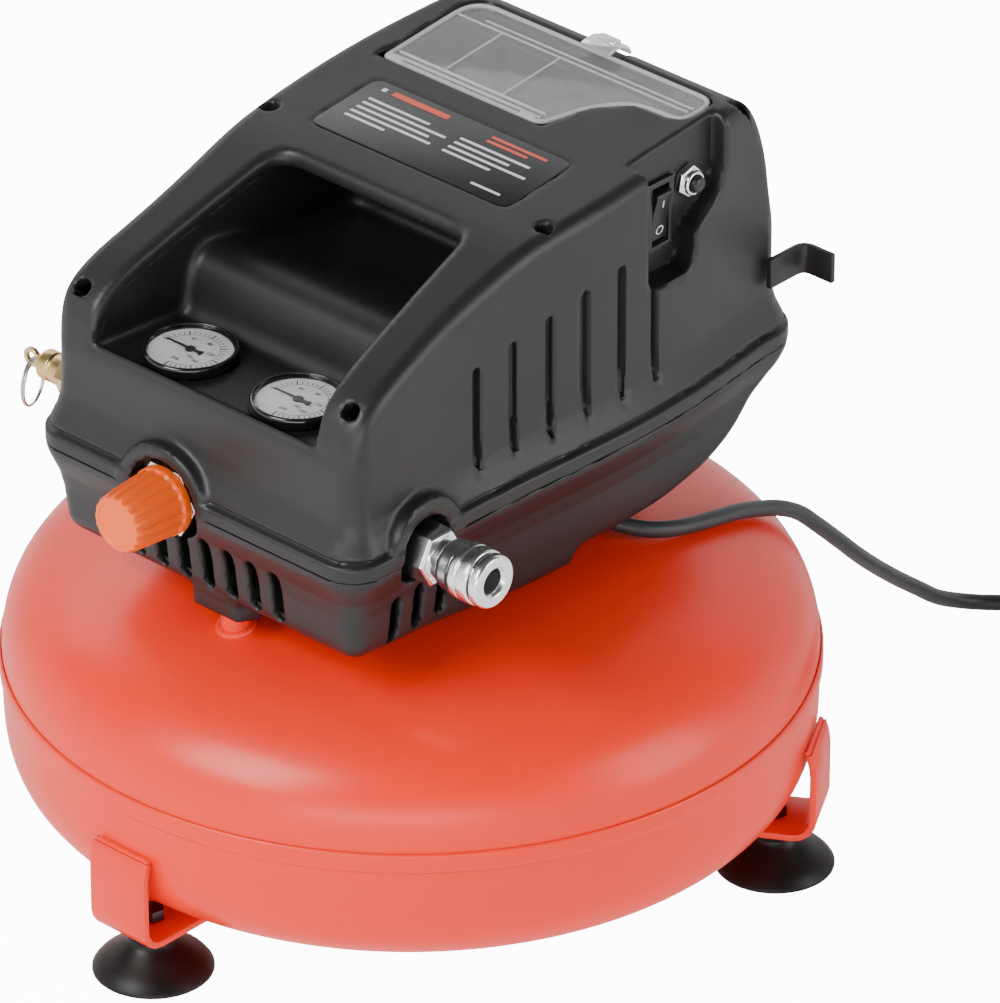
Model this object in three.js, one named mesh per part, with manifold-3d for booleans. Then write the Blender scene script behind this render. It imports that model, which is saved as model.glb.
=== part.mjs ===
// Portable pancake air compressor: a flat round tank on three suction feet carries a small motor and
// wobble-piston pump under a two-part moulded shroud. Millimetres, +Z up, front towards -Y, and the
// quick coupler on the +X side. Lengths are measured from the tank's own axis and from the floor.
import * as THREE from "three";
import { mergeVertices } from "three/addons/utils/BufferGeometryUtils.js";
import Module from "manifold-3d";

const wasm = await Module();
wasm.setup();

// ---------------------------------------------------------------- driving dimensions
const GAP = 0.3; // between pieces that touch
const RUNNING = 0.5; // round pieces that move in one another

const TANK = {
  radius: 170, seam: 85, crown: 62.3, crownPower: 2.8, belly: 64, bellyPower: 4.8,
  wall: 2.6, lapBelow: 4, lapAbove: 5, lapStep: 1.3, facets: 48, rings: 8,
};
const FOOT = {
  count: 3, circle: TANK.radius - 15, rim: 25.3, height: 20.4, neck: 9.2, lip: 1.6, hollow: 2.6,
  stud: 2.6, studDepth: 12, boltHead: 4.6, boltHeadHeight: 5,
};
const BRACKET = { width: 31, sheet: 3, standOff: 2.2, inner: TANK.radius - 39, kneeHeight: 55, top: 63, bend: 6.5 };
// The belt's half width is listed from the front corners to the rear ones as [y, half].
const BELT = {
  front: -129.5, frontHalf: 92, frontCorner: 17, rear: 151, rearHalf: 83.5, rearCorner: 20,
  sides: [[-92, 91], [-67, 87.5], [-15, 90], [30, 93], [66, 92.2], [95, 89]], parting: 203.5, top: 211,
};
const WIDEST = 1.2 * Math.max(...BELT.sides.map(([, half]) => half));
const SHELL = { wall: 2.6, flare: 7, flareTop: 226, groove: 4.5, grooveTop: 212.5, roof: 332 };
const LOWER = { tuck: 9, tuckTop: 197.5, tuckLow: 189, floor: 161, floorSheet: 2.5 };
const DECK = { frontY: 0, frontZ: 312.5, rearY: 112, rearZ: 323 };
const CONSOLE = {
  floor: 251.5, rearHalf: 52, frontHalf: 62, gripY: -20, front: -118.2, cavityRear: 22,
  corner: 10, wall: 2.2, lip: 254.5,
};
const GAUGE = { x: 30, y: -96.8, radius: 20, bezel: 21, dial: 17.2, stem: 4, proud: 5, depth: 18 };
const LID = { sheet: 2.4, left: -66, shoulder: 22, front: 54, rear: 111, armFront: 90, tip: 68, play: 0.5 };
const TRAY = { depth: 17, wall: 1.6, divider: 1.4 };
const PORT = { z: BELT.parting, holeRadius: 17, collar: 22 };
const KNOB = { x: -15.8, baseRadius: 15.5, faceRadius: 12.3, rear: -127, face: -155.4, flutes: 18, flute: 0.7 };
const COUPLER = {
  y: -85.5, flange: 83, hexEnd: 96, face: 126.5, barrel: 8.5, sleeve: 12, sleeveEnd: 121.1,
  sleeveLength: 18, bore: 5.2, boreDepth: 20,
};
const RELIEF = { y: -92, z: 212.5, hexStart: -89, hexEnd: -106, bodyEnd: -119, eye: -126, ring: 10.5, wire: 0.9 };
const SWITCH = { panel: 72.5, wall: 1.8, y: 70, z: 288, width: 12.6, height: 28.6, resetY: 87, resetZ: 297 };
const SCREWS = [{ x: 74.4, y: -113 }, { x: 76, y: -2 }, { x: 73.5, y: 117.5 }];
const BOSS = { radius: 5.9, hole: 4.2, seat: 228, foot: 206, post: 3.5, pilot: 1.9, head: 3.7, shank: 1.6 };
const MOTOR = { z: 199, radius: 37, rear: 32, length: 66, rotor: 22, shaft: 5, wall: 3, foot: 160 };
const CRANK = { throw: 5, pin: 4, disc: 13, start: 40, thickness: 8, pinLength: 18, cylinderY: 59 };
const PISTON = { radius: 19, rodTop: 252, crown: 8, rod: 10, bigEnd: 9, slack: 5.5 };
const CYLINDER = { wall: 3, finStep: 8, fins: 4, fin: 3.5, bottom: 238, top: 272, headHeight: 13 };
const WINDOW_HALF = PISTON.radius + PISTON.slack + CYLINDER.wall + 3.5; // the floor's window, clear of the cylinder's legs
const CORD = { diameter: 7, sides: 8, exit: [57, 45, 153], bootLength: 20.5, bootRoot: 4.9, bootTip: 4.2 };
const COIL = { x: 140, y: TANK.radius + 122, inner: 28, outer: 49.2, height: 14.2, lift: 1.4, tie: 1, tieWidth: 10 };
const PLUG = { offset: 27, boot: 30, body: 34, width: 24, height: 20, blade: 17 };

// The uncoiled stretch of the lead, from the boot's tip, over the tank's shoulder and along the floor,
// for a tank of LEAD_TANK radius. leadRoute() fits it to any other.
const LEAD_TANK = 170;
const LEAD_ROUTE = [
  [57.6, 45, 153], [63, 45.5, 152.7], [68.9, 48.3, 151], [75.2, 53.1, 148.9], [80.2, 59.4, 147],
  [83.6, 67.5, 145.2], [85, 76.5, 143.3], [85.5, 85.5, 141.5], [85.6, 94.5, 139.7], [84.9, 108.5, 136.3],
  [84.3, 122.5, 131.4], [84.2, 135.5, 126], [84.3, 147.5, 118.6], [84.2, 159.5, 107.6], [82.3, 175.5, 92.4],
  [78.3, 193.4, 75.6], [73, 212.3, 59.2], [67.2, 232.2, 42.8], [63, 251, 28], [60.8, 267, 15.6],
  [61.4, 279.8, 7.4], [66.5, 289.6, 4], [74, 295.6, 3.6], [82, 300.4, 3.6], [88, 303.9, 3.8],
];

const finish = (color, roughness, metalness) => new THREE.MeshStandardMaterial({ color, roughness, metalness });
const FINISH = {
  tankPaint: finish(0xe8431f, 0.38, 0.1),
  plastic: finish(0x2b2c2e, 0.62, 0),
  blackPlastic: finish(0x141516, 0.5, 0),
  clear: finish(0xb9bcbe, 0.12, 0),
  knob: finish(0xf0641c, 0.45, 0),
  chrome: finish(0xd6d9dc, 0.14, 1),
  brass: finish(0xc8a552, 0.28, 1),
  aluminium: finish(0xa9adb1, 0.4, 1),
  steel: finish(0x8d9196, 0.35, 1),
  rubber: finish(0x171718, 0.85, 0),
  dial: finish(0xd9dad8, 0.5, 0.1),
  iron: finish(0x4a4c4f, 0.6, 0.8),
};

// ---------------------------------------------------------------- solids: joining and cutting
function signedVolume(position, index) {
  const [a, b, c] = [new THREE.Vector3(), new THREE.Vector3(), new THREE.Vector3()];
  let sum = 0;
  for (let i = 0; i < index.length; i += 3) {
    a.fromArray(position, 3 * index[i]);
    b.fromArray(position, 3 * index[i + 1]);
    c.fromArray(position, 3 * index[i + 2]);
    sum += a.dot(b.cross(c));
  }
  return sum / 6;
}

function toSolid(geometry) {
  const bare = geometry.index ? geometry.toNonIndexed() : geometry.clone();
  bare.deleteAttribute("normal");
  bare.deleteAttribute("uv");
  const merged = mergeVertices(bare, 1e-3);
  const triVerts = new Uint32Array(merged.index.array);
  const vertProperties = merged.attributes.position.array;
  if (signedVolume(vertProperties, triVerts) < 0) triVerts.reverse();
  return new wasm.Manifold(new wasm.Mesh({ numProp: 3, vertProperties, triVerts }));
}

function toGeometry(solid) {
  const { vertProperties, triVerts } = solid.getMesh();
  const geometry = new THREE.BufferGeometry();
  geometry.setAttribute("position", new THREE.BufferAttribute(Float32Array.from(vertProperties), 3));
  geometry.setIndex(new THREE.BufferAttribute(Uint32Array.from(triVerts), 1));
  const flat = geometry.toNonIndexed();
  flat.computeVertexNormals();
  return flat;
}

const fold = (first, rest, step) => toGeometry(rest.reduce((sum, g) => step(sum, toSolid(g)), toSolid(first)));
const cut = (first, ...rest) => fold(first, rest, (a, b) => a.subtract(b));
const join = (first, ...rest) => fold(first, rest, (a, b) => a.add(b));
const common = (first, ...rest) => fold(first, rest, (a, b) => a.intersect(b));

// ---------------------------------------------------------------- plain shapes
function shapeOf(points) {
  return new THREE.Shape(points.map(([x, y]) => new THREE.Vector2(x, y)));
}

// A flat outline [x, y], standing from z = low to z = high.
function upright(points, low, high) {
  const slab = new THREE.ExtrudeGeometry(shapeOf(points), { depth: high - low, bevelEnabled: false });
  return slab.translate(0, 0, low);
}

// A side outline [y, z], running from x = left to x = right.
function sideways(points, left, right) {
  const slab = new THREE.ExtrudeGeometry(shapeOf(points), { depth: right - left, bevelEnabled: false });
  return slab.rotateX(Math.PI / 2).rotateZ(Math.PI / 2).translate(left, 0, 0);
}

function box(x0, x1, y0, y1, z0, z1) {
  const block = new THREE.BoxGeometry(x1 - x0, y1 - y0, z1 - z0);
  return block.translate((x0 + x1) / 2, (y0 + y1) / 2, (z0 + z1) / 2);
}

// A turned piece: profile [r, z] about the Z axis.
function turned(profile, facets = 24) {
  const points = profile.map(([r, z]) => new THREE.Vector2(r, z));
  return new THREE.LatheGeometry(points, facets).rotateX(Math.PI / 2);
}

function rod(radius, low, high, facets = 16) {
  const bar = new THREE.CylinderGeometry(radius, radius, high - low, facets);
  return bar.rotateX(Math.PI / 2).translate(0, 0, (low + high) / 2);
}

// A hexagon bar across its corners, with two flats facing up and down once it lies along X or Y.
const hexBar = (flats, low, high) => rod(flats / Math.sqrt(3), low, high, 6);

const alongX = (geometry) => geometry.rotateY(Math.PI / 2);
const alongMinusX = (geometry) => geometry.rotateY(-Math.PI / 2);
const alongMinusY = (geometry) => geometry.rotateX(Math.PI / 2);
const at = (geometry, x, y, z = 0) => geometry.clone().translate(x, y, z);

// Moves each edge of a closed outline outwards by distance (inwards when it is negative).
function outset(points, distance) {
  const turn = Math.sign(THREE.ShapeUtils.area(points.map(([x, y]) => new THREE.Vector2(x, y))));
  const normals = points.map(([x, y], i) => {
    const [nx, ny] = points[(i + 1) % points.length];
    const length = Math.hypot(nx - x, ny - y);
    return [(turn * (ny - y)) / length, (-turn * (nx - x)) / length];
  });
  return points.map(([x, y], i) => {
    const [ax, ay] = normals[(i + points.length - 1) % points.length];
    const [bx, by] = normals[i];
    const scale = distance / (1 + ax * bx + ay * by);
    return [x + scale * (ax + bx), y + scale * (ay + by)];
  });
}

// Rounds the corners of a closed outline; radii holds one radius for each corner.
function rounded(points, radii, steps = 3) {
  return points.flatMap((corner, i) => {
    if (!radii[i]) return [corner];
    const here = new THREE.Vector2(...corner);
    const back = new THREE.Vector2(...points[(i + points.length - 1) % points.length]).sub(here);
    const ahead = new THREE.Vector2(...points[(i + 1) % points.length]).sub(here);
    const half = Math.acos(back.clone().normalize().dot(ahead.clone().normalize())) / 2;
    const reach = Math.min(radii[i] / Math.tan(half), 0.49 * back.length(), 0.49 * ahead.length());
    const bend = new THREE.QuadraticBezierCurve(
      here.clone().add(back.setLength(reach)), here, here.clone().add(ahead.setLength(reach)),
    );
    return bend.getPoints(steps).map((p) => [p.x, p.y]);
  });
}

// A bent strip of sheet: the closed outline that lies half a thickness to each side of a bent line.
function strip(line, thickness) {
  const side = (sign) => line.map(([x, y], i) => {
    const [px, py] = line[Math.max(i - 1, 0)];
    const [nx, ny] = line[Math.min(i + 1, line.length - 1)];
    const length = Math.hypot(nx - px, ny - py);
    return [x - (sign * thickness * (ny - py)) / length / 2, y + (sign * thickness * (nx - px)) / length / 2];
  });
  return [...side(1), ...side(-1).reverse()];
}

// Stacked outlines with equally many points, closed at both ends.
function loft(sections) {
  const count = sections[0].outline.length;
  const position = sections.flatMap(({ outline, z }) => outline.flatMap(([x, y]) => [x, y, z]));
  const index = [];
  for (let level = 0; level + 1 < sections.length; level++)
    for (let i = 0; i < count; i++) {
      const [a, b] = [level * count + i, level * count + ((i + 1) % count)];
      index.push(a, b, b + count, a, b + count, a + count);
    }
  const flat = (outline) => outline.map(([x, y]) => new THREE.Vector2(x, y));
  const last = (sections.length - 1) * count;
  for (const [a, b, c] of THREE.ShapeUtils.triangulateShape(flat(sections[0].outline), [])) index.push(a, c, b);
  for (const [a, b, c] of THREE.ShapeUtils.triangulateShape(flat(sections.at(-1).outline), []))
    index.push(last + a, last + b, last + c);
  const geometry = new THREE.BufferGeometry();
  geometry.setAttribute("position", new THREE.BufferAttribute(Float32Array.from(position), 3));
  return geometry.setIndex(index).toNonIndexed();
}

function piece(name, geometry, material, parent) {
  const mesh = new THREE.Mesh(toGeometry(toSolid(geometry)), material);
  mesh.name = name;
  parent.add(mesh);
  return mesh;
}

function group(parent) {
  const made = new THREE.Group();
  parent.add(made);
  return made;
}

// ---------------------------------------------------------------- tank
// A superellipse quarter from the axis to the rim, [r, height above the seam], as the dished ends are.
function dish(radius, height, power) {
  return Array.from({ length: TANK.rings + 1 }, (_, i) => {
    const angle = (Math.PI / 2) * (1 - i / TANK.rings);
    return [radius * Math.cos(angle) ** (2 / power), height * Math.sin(angle) ** (2 / power)];
  });
}

const dishHeight = (r, height, power) => height * (1 - (r / TANK.radius) ** power) ** (1 / power);
const crownAt = (r) => TANK.seam + dishHeight(r, TANK.crown, TANK.crownPower);
const bellyAt = (r) => TANK.seam - dishHeight(r, TANK.belly, TANK.bellyPower);

// The upper dished end as a full solid that reaches half-way into its wall, to trim what is welded to it.
function crownSolid() {
  const sunk = TANK.wall / 2;
  const arc = dish(TANK.radius - sunk, TANK.crown - sunk, TANK.crownPower);
  return turned([...arc.map(([r, h]) => [r, TANK.seam + h]), [0, TANK.seam]], TANK.facets);
}

const TUBE = { radius: 4, x: 52, y: 62, headX: 30, level: 279 };

function tankUpperHalf() {
  const base = TANK.seam + GAP / 2;
  const outer = dish(TANK.radius, TANK.crown, TANK.crownPower).map(([r, h]) => [r, TANK.seam + h]);
  const inner = dish(TANK.radius - TANK.wall, TANK.crown - TANK.wall, TANK.crownPower);
  outer[outer.length - 1] = [TANK.radius, base];
  inner[inner.length - 1] = [TANK.radius - TANK.wall, base - TANK.seam];
  const profile = [...outer, ...inner.reverse().map(([r, h]) => [r, TANK.seam + h])];
  const port = at(rod(TUBE.radius + 1.5, TANK.seam + 20, TANK.seam + TANK.crown + 5), TUBE.x, TUBE.y);
  return join(cut(turned(profile, TANK.facets), port), shroudLug(), pumpSaddle());
}

function tankLowerHalf() {
  const edge = TANK.seam - GAP / 2;
  const outer = dish(TANK.radius, TANK.belly, TANK.bellyPower).map(([r, h]) => [r, TANK.seam - h]);
  const inner = dish(TANK.radius - TANK.wall, TANK.belly - TANK.wall, TANK.bellyPower);
  outer[outer.length - 1] = [TANK.radius, TANK.seam - TANK.lapBelow];
  inner[inner.length - 1] = [TANK.radius - TANK.wall, TANK.seam - edge];
  const lap = [
    [TANK.radius + TANK.lapStep, TANK.seam - TANK.lapBelow],
    [TANK.radius + TANK.lapStep, TANK.seam + TANK.lapAbove],
    [TANK.radius + GAP, TANK.seam + TANK.lapAbove],
    [TANK.radius + GAP, edge],
  ];
  const profile = [...outer, ...lap, ...inner.reverse().map(([r, h]) => [r, TANK.seam - h])];
  return cut(turned(profile, TANK.facets), rod(DRAIN.shank + GAP, 10, TANK.seam));
}

// ---------------------------------------------------------------- drain cock under the tank
const DRAIN = { shank: 4.5, hex: 13, hexHeight: 7, handle: 5, handleHeight: 5.5, wing: 11, sheet: 3, pin: 2.3 };

function drainBody() {
  const top = TANK.seam - TANK.belly - GAP;
  const hex = hexBar(DRAIN.hex, top - DRAIN.hexHeight, top);
  const body = join(hex, rod(DRAIN.shank, top - 1, top + 6));
  return cut(body, rod(DRAIN.pin + GAP, top - DRAIN.hexHeight - 1, top - DRAIN.hexHeight + 4));
}

function drainHandle() {
  const top = TANK.seam - TANK.belly - 2 * GAP - DRAIN.hexHeight;
  const wing = box(-DRAIN.wing, DRAIN.wing, -DRAIN.sheet / 2, DRAIN.sheet / 2, top - DRAIN.handleHeight, top - 1);
  return join(rod(DRAIN.handle, top - DRAIN.handleHeight, top), wing, rod(DRAIN.pin, top - 1, top + 3.5));
}

// ---------------------------------------------------------------- feet, built as the front one
function footBracket() {
  const plate = FOOT.height + GAP + BRACKET.sheet / 2;
  const stand = TANK.radius + BRACKET.standOff + BRACKET.sheet / 2;
  const line = [
    [BRACKET.inner, plate], [stand - BRACKET.bend, plate],
    [stand - 0.3 * BRACKET.bend, plate + 0.3 * BRACKET.bend], [stand, plate + BRACKET.bend],
    [stand, BRACKET.kneeHeight], [TANK.radius + GAP + BRACKET.sheet / 2, BRACKET.top],
  ];
  const bent = sideways(strip(line.map(([r, z]) => [-r, z]), BRACKET.sheet), -BRACKET.width / 2, BRACKET.width / 2);
  return cut(bent, at(rod(FOOT.stud + GAP, 0, 2 * FOOT.height), 0, -FOOT.circle));
}

function footCup() {
  const { rim, height, neck, lip, hollow, stud, studDepth } = FOOT;
  return turned([
    [0, hollow], [0.6 * rim, hollow], [0.85 * rim, 0], [rim, 0], [rim, lip], [0.87 * rim, 0.27 * height],
    [0.6 * rim, 0.5 * height], [neck + 1, 0.72 * height], [neck, height], [stud + GAP, height],
    [stud + GAP, height - studDepth], [0, height - studDepth],
  ], 20);
}

function footBolt() {
  const seat = FOOT.height + 2 * GAP + BRACKET.sheet;
  const shank = rod(FOOT.stud, FOOT.height - FOOT.studDepth + GAP, seat + 1, 12);
  return join(hexBar(FOOT.boltHead * Math.sqrt(3), seat, seat + FOOT.boltHeadHeight), shank);
}

function addFeet(parent) {
  for (let i = 0; i < FOOT.count; i++) {
    const foot = group(parent);
    foot.rotation.z = (2 * Math.PI * i) / FOOT.count;
    const side = ["front", "right", "left"][i] ?? "extra" + i;
    piece(side + "_foot_bracket", footBracket(), FINISH.tankPaint, foot);
    piece(side + "_foot_cup", footCup(), FINISH.rubber, foot).position.y = -FOOT.circle;
    piece(side + "_foot_bolt", footBolt(), FINISH.iron, foot).position.y = -FOOT.circle;
  }
}

// ---------------------------------------------------------------- shroud outlines
// The plan outline of the shroud, drawn in from the belt by inset.
function plan(inset) {
  const quarter = (half, y, r, start) => Array.from({ length: 6 }, (_, i) => {
    const angle = start + (i * Math.PI) / 10;
    return [half - r + r * Math.cos(angle), y + r * Math.sin(angle)];
  });
  const { front, frontHalf, frontCorner, rear, rearHalf, rearCorner, sides } = BELT;
  const right = [
    ...quarter(frontHalf, front + frontCorner, frontCorner, -Math.PI / 2),
    ...sides.map(([y, half]) => [half, y]),
    ...quarter(rearHalf, rear - rearCorner, rearCorner, 0),
  ];
  return outset([...right, ...right.map(([x, y]) => [-x, y]).reverse()], -inset);
}

const deckSlope = (DECK.rearZ - DECK.frontZ) / (DECK.rearY - DECK.frontY);
const deckAt = (y) => DECK.frontZ + deckSlope * (y - DECK.frontY);

// The side outline of the upper shell: front wall, brow, sloping arms, deck and rear wall.
const UPPER_SIDE = [
  [BELT.front - 6, 190], [BELT.front - 6, 240], [-124, 254], [-121, 264], [-113, 275], [-100, 282.5],
  [-60, 297], [CONSOLE.gripY, 309.6], [DECK.frontY, DECK.frontZ], [DECK.rearY, DECK.rearZ],
  [122, 319.5], [129, 309], [135, 291], [139, 268], [BELT.rear + 6, 235], [BELT.rear + 6, 190],
];

// The full body under the upper shell's skin at a depth below it.
function upperBody(depth) {
  const walls = [
    { z: BELT.parting - (depth ? 8 : 0), outline: plan(depth) },
    { z: BELT.top, outline: plan(depth) },
    { z: SHELL.grooveTop, outline: plan(depth + SHELL.groove) },
    { z: SHELL.flareTop, outline: plan(depth + SHELL.flare) },
    { z: SHELL.roof, outline: plan(depth + SHELL.flare) },
  ];
  return common(loft(walls), sideways(outset(UPPER_SIDE, -depth), -WIDEST, WIDEST));
}

// ---------------------------------------------------------------- console tub and handle opening
function consoleOutline(front, rear) {
  const { rearHalf, frontHalf, gripY, corner } = CONSOLE;
  const reach = frontHalf + ((frontHalf - rearHalf) * (CONSOLE.front - front)) / (gripY - CONSOLE.front);
  const points = [[-reach, front], [reach, front]];
  if (rear > gripY) points.push([rearHalf, gripY]);
  points.push([rearHalf, rear], [-rearHalf, rear]);
  if (rear > gripY) points.push([-rearHalf, gripY]);
  const radii = points.map(([, y]) => (y === rear ? corner : 0));
  return rounded(points, radii, 4);
}

const CONSOLE_SIDE = [
  [CONSOLE.front - 12, CONSOLE.floor], [-86, CONSOLE.floor], [-79, CONSOLE.floor + 3], [-73, 268],
  [-69, 275], [-63, 278.6], [-54, 279], [-12, 268], [CONSOLE.cavityRear + 8, 266],
  [CONSOLE.cavityRear + 8, 345], [CONSOLE.front - 12, 345],
];

function consoleTub() {
  const { front, cavityRear, wall } = CONSOLE;
  const plan0 = consoleOutline(front, cavityRear);
  const outer = common(
    upright(outset(plan0, wall), 230, 345), sideways(outset(CONSOLE_SIDE, wall), -WIDEST, WIDEST),
    upperBody(SHELL.wall + GAP),
  );
  const space = common(upright(plan0, 230, 350), sideways(CONSOLE_SIDE, -WIDEST, WIDEST));
  const holes = [-1, 1].flatMap((side) => [
    at(rod(GAUGE.radius + GAP, 230, 300, 32), side * GAUGE.x, GAUGE.y),
    at(rod(GAUGE.bezel + GAP, CONSOLE.floor, 300, 32), side * GAUGE.x, GAUGE.y),
  ]);
  return cut(outer, space, ...holes);
}

// What is taken out of the upper shell above the console, down to its lip.
function handleOpening() {
  const deep = upright(consoleOutline(CONSOLE.front, CONSOLE.gripY), 235, 345);
  const overLip = upright(consoleOutline(BELT.front - 10, CONSOLE.gripY), CONSOLE.lip, 345);
  return join(deep, overLip);
}

// ---------------------------------------------------------------- storage tray and lid, on the deck
const LID_OUTLINE = rounded(
  [
    [LID.left, LID.front], [LID.shoulder, LID.front], [30, 76], [42, LID.armFront - 1],
    [LID.tip, LID.armFront], [LID.tip, LID.rear], [LID.left, LID.rear],
  ],
  [3, 8, 8, 10, 9, 9, 16],
);
const deckTilt = Math.atan(deckSlope);

// From the deck's own frame, with z = 0 on the skin and y kept as it is in plan, to the object's.
const onDeck = (geometry) => geometry.clone().translate(0, -LID.front, 0).rotateX(deckTilt)
  .translate(0, LID.front, deckAt(LID.front));

function lidSheet() {
  const ears = [LID.left + 6, LID.shoulder - 8].map((x) => at(
    alongX(rod(1.8, -4, 4, 10)), x, LID.front + 2.2, -LID.sheet / 2,
  ));
  return join(upright(LID_OUTLINE, -LID.sheet, 0), ...ears);
}

function storageTray() {
  const bottom = -SHELL.wall - GAP - TRAY.depth;
  const top = -SHELL.wall - GAP;
  const inner = outset(LID_OUTLINE, -1.2);
  const basin = cut(
    upright(outset(inner, TRAY.wall), bottom, top), upright(inner, bottom + TRAY.wall, top + 1),
    box(LID.left - 3, LID.shoulder + 3, LID.front - 4, LID.front + 5, top - 2.5, top + 1),
  );
  const divide = (x0, x1, y0, y1) => box(x0, x1, y0, y1, bottom + 1, top - 1.5);
  const half = TRAY.divider / 2;
  return join(
    basin,
    divide(LID.left + 4, LID.tip - 6, 98 - half, 98 + half),
    divide(-38 - half, -38 + half, LID.front + 6, 98),
    divide(-6 - half, -6 + half, LID.front + 6, 98),
  );
}

const LATCH = { x: 4, half: 8, sheet: 1.4, drop: 16 };

// A spring clip of bent sheet: it stands on the rear wall and hooks over the lid's rear edge.
function lidLatch() {
  const rear = LID.rear + 5.5;
  const line = [
    [LID.rear - 3, 1.5], [LID.rear + 1, 1.9], [rear - 1.5, 1.9], [rear + 2.5, 0.2], [rear + 4.5, -4],
  ];
  const clip = sideways(strip(line, LATCH.sheet), -LATCH.half, LATCH.half);
  return at(clip, LATCH.x, 0);
}

// ---------------------------------------------------------------- switch pocket on the right shoulder
const POCKET = [
  [52, 345], [52, 266], [56, 262], [78, 262], [82, 268], [82, 278], [92, 284], [100, 291], [103, 300], [103, 345],
];

function rockerHole(play) {
  const [halfY, halfZ] = [SWITCH.width / 2 + play, SWITCH.height / 2 + play];
  return [SWITCH.y - halfY, SWITCH.y + halfY, SWITCH.z - halfZ, SWITCH.z + halfZ];
}

function rockerFrame() {
  const [y0, y1, z0, z1] = rockerHole(0);
  const face = SWITCH.panel + GAP;
  const flange = box(face, face + 1.6, y0 - 1.6, y1 + 1.6, z0 - 1.6, z1 + 1.6);
  const body = box(face - 16, face + 1, y0, y1, z0, z1);
  return cut(join(flange, body), box(face - 11, face + 3, y0 + 1.3, y1 - 1.3, z0 + 1, z1 - 1));
}

const ROCKER = { pivot: 70.5, tilt: 0.16, half: 11.6, depth: 6 };

// The rocker's side outline [x, z] about its pivot: a shallow V, with its lower half pressed in at rest.
function rockerPaddle() {
  const { half, depth } = ROCKER;
  const outline = [
    [-depth, -3], [-1, -half], [4.2, -half], [4.6, -half + 1], [3.4, 0], [4.6, half - 1], [4.2, half],
    [-1, half], [-depth, 3],
  ];
  const width = SWITCH.width / 2 - 1.3 - GAP;
  const slab = new THREE.ExtrudeGeometry(shapeOf(outline), { depth: 2 * width, bevelEnabled: false });
  return slab.rotateX(Math.PI / 2).translate(0, width, 0).rotateY(ROCKER.tilt);
}

const RESET = { button: 3.6, nut: 13, nutHeight: 3.2, collar: 5.4, collarHeight: 5.4, out: 8.5, back: 14 };

function resetNut() {
  const low = SWITCH.panel + GAP;
  const blank = join(
    alongX(hexBar(RESET.nut, low, low + RESET.nutHeight)),
    alongX(rod(RESET.collar, low, low + RESET.collarHeight, 20)),
  );
  return cut(blank, alongX(rod(RESET.button + RUNNING, low - 1, low + 20, 20)));
}

// ---------------------------------------------------------------- upper shell
const eachScrew = (make) => [-1, 1].flatMap((side) => SCREWS.map(({ x, y }) => make(side * x, y)));

const RIBS = { count: 6, first: -47, step: 20.4, width: 4.4, depth: 2, low: 219, topFirst: 268, topStep: 3.6 };

// Half the width of the upper shell's wall at a place along the side.
function wallHalf(y) {
  const i = BELT.sides.findIndex(([next]) => next > y);
  const [[y0, half0], [y1, half1]] = [BELT.sides[i - 1], BELT.sides[i]];
  return half0 + ((half1 - half0) * (y - y0)) / (y1 - y0) - SHELL.flare;
}

function sideGrooves() {
  return [-1, 1].flatMap((side) => Array.from({ length: RIBS.count }, (_, i) => {
    const [y, top] = [RIBS.first + i * RIBS.step, RIBS.topFirst + i * RIBS.topStep];
    const bottomOut = wallHalf(y) - RIBS.depth;
    const [inner, outer] = side > 0 ? [bottomOut, WIDEST] : [-WIDEST, -bottomOut];
    return box(inner, outer, y - RIBS.width / 2, y + RIBS.width / 2, RIBS.low, top);
  }));
}

function portHoles(radius, run) {
  return [
    at(alongMinusY(rod(radius, -run, run, 28)), KNOB.x, BELT.front + 4, PORT.z),
    at(alongX(rod(radius, -run, run, 28)), BELT.frontHalf - 4, COUPLER.y, PORT.z),
  ];
}

const reliefHole = () => at(alongX(rod(10.5, -20, 20, 20)), -BELT.frontHalf + 4, RELIEF.y, RELIEF.z);

function upperShell() {
  const outside = upperBody(0);
  const outline = plan(0);
  const collars = portHoles(PORT.collar, 7.5).map((ring) => common(
    ring, loft([{ z: BELT.parting, outline }, { z: PORT.z + PORT.collar + 4, outline }]),
  ));
  const bosses = eachScrew((x, y) => common(at(rod(BOSS.radius, BOSS.foot, SHELL.roof), x, y), outside));
  const pocketWall = common(sideways(outset(POCKET, SWITCH.wall), SWITCH.panel - SWITCH.wall, WIDEST), outside);
  const skin = join(cut(outside, upperBody(SHELL.wall)), ...bosses, pocketWall, ...collars);
  const sinks = eachScrew((x, y) => at(
    join(rod(BOSS.hole, BOSS.seat, SHELL.roof), rod(BOSS.pilot, BOSS.foot - 1, BOSS.seat + 1, 10)), x, y,
  ));
  const [y0, y1, z0, z1] = rockerHole(GAP);
  const hingeRelief = onDeck(box(LID.left - 2.5, LID.shoulder + 2.5, LID.front - 1, LID.front + 5, -8, 12));
  return cut(
    skin, handleOpening(), onDeck(upright(outset(LID_OUTLINE, LID.play), -8, 12)), hingeRelief, ...sinks,
    sideways(POCKET, SWITCH.panel, WIDEST), box(60, 80, y0, y1, z0, z1),
    at(alongX(rod(RESET.button + RUNNING, 60, 80, 20)), 0, SWITCH.resetY, SWITCH.resetZ),
    ...portHoles(PORT.holeRadius, 20), reliefHole(), ...sideGrooves(),
    box(-WIDEST, WIDEST, BELT.front - 9, BELT.rear + 9, 180, BELT.parting + GAP / 2),
    onDeck(box(LATCH.x - LATCH.half - 1, LATCH.x + LATCH.half + 1, LID.rear - 2, LID.rear + 30, -LATCH.drop / 2, 9)),
  );
}

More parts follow.
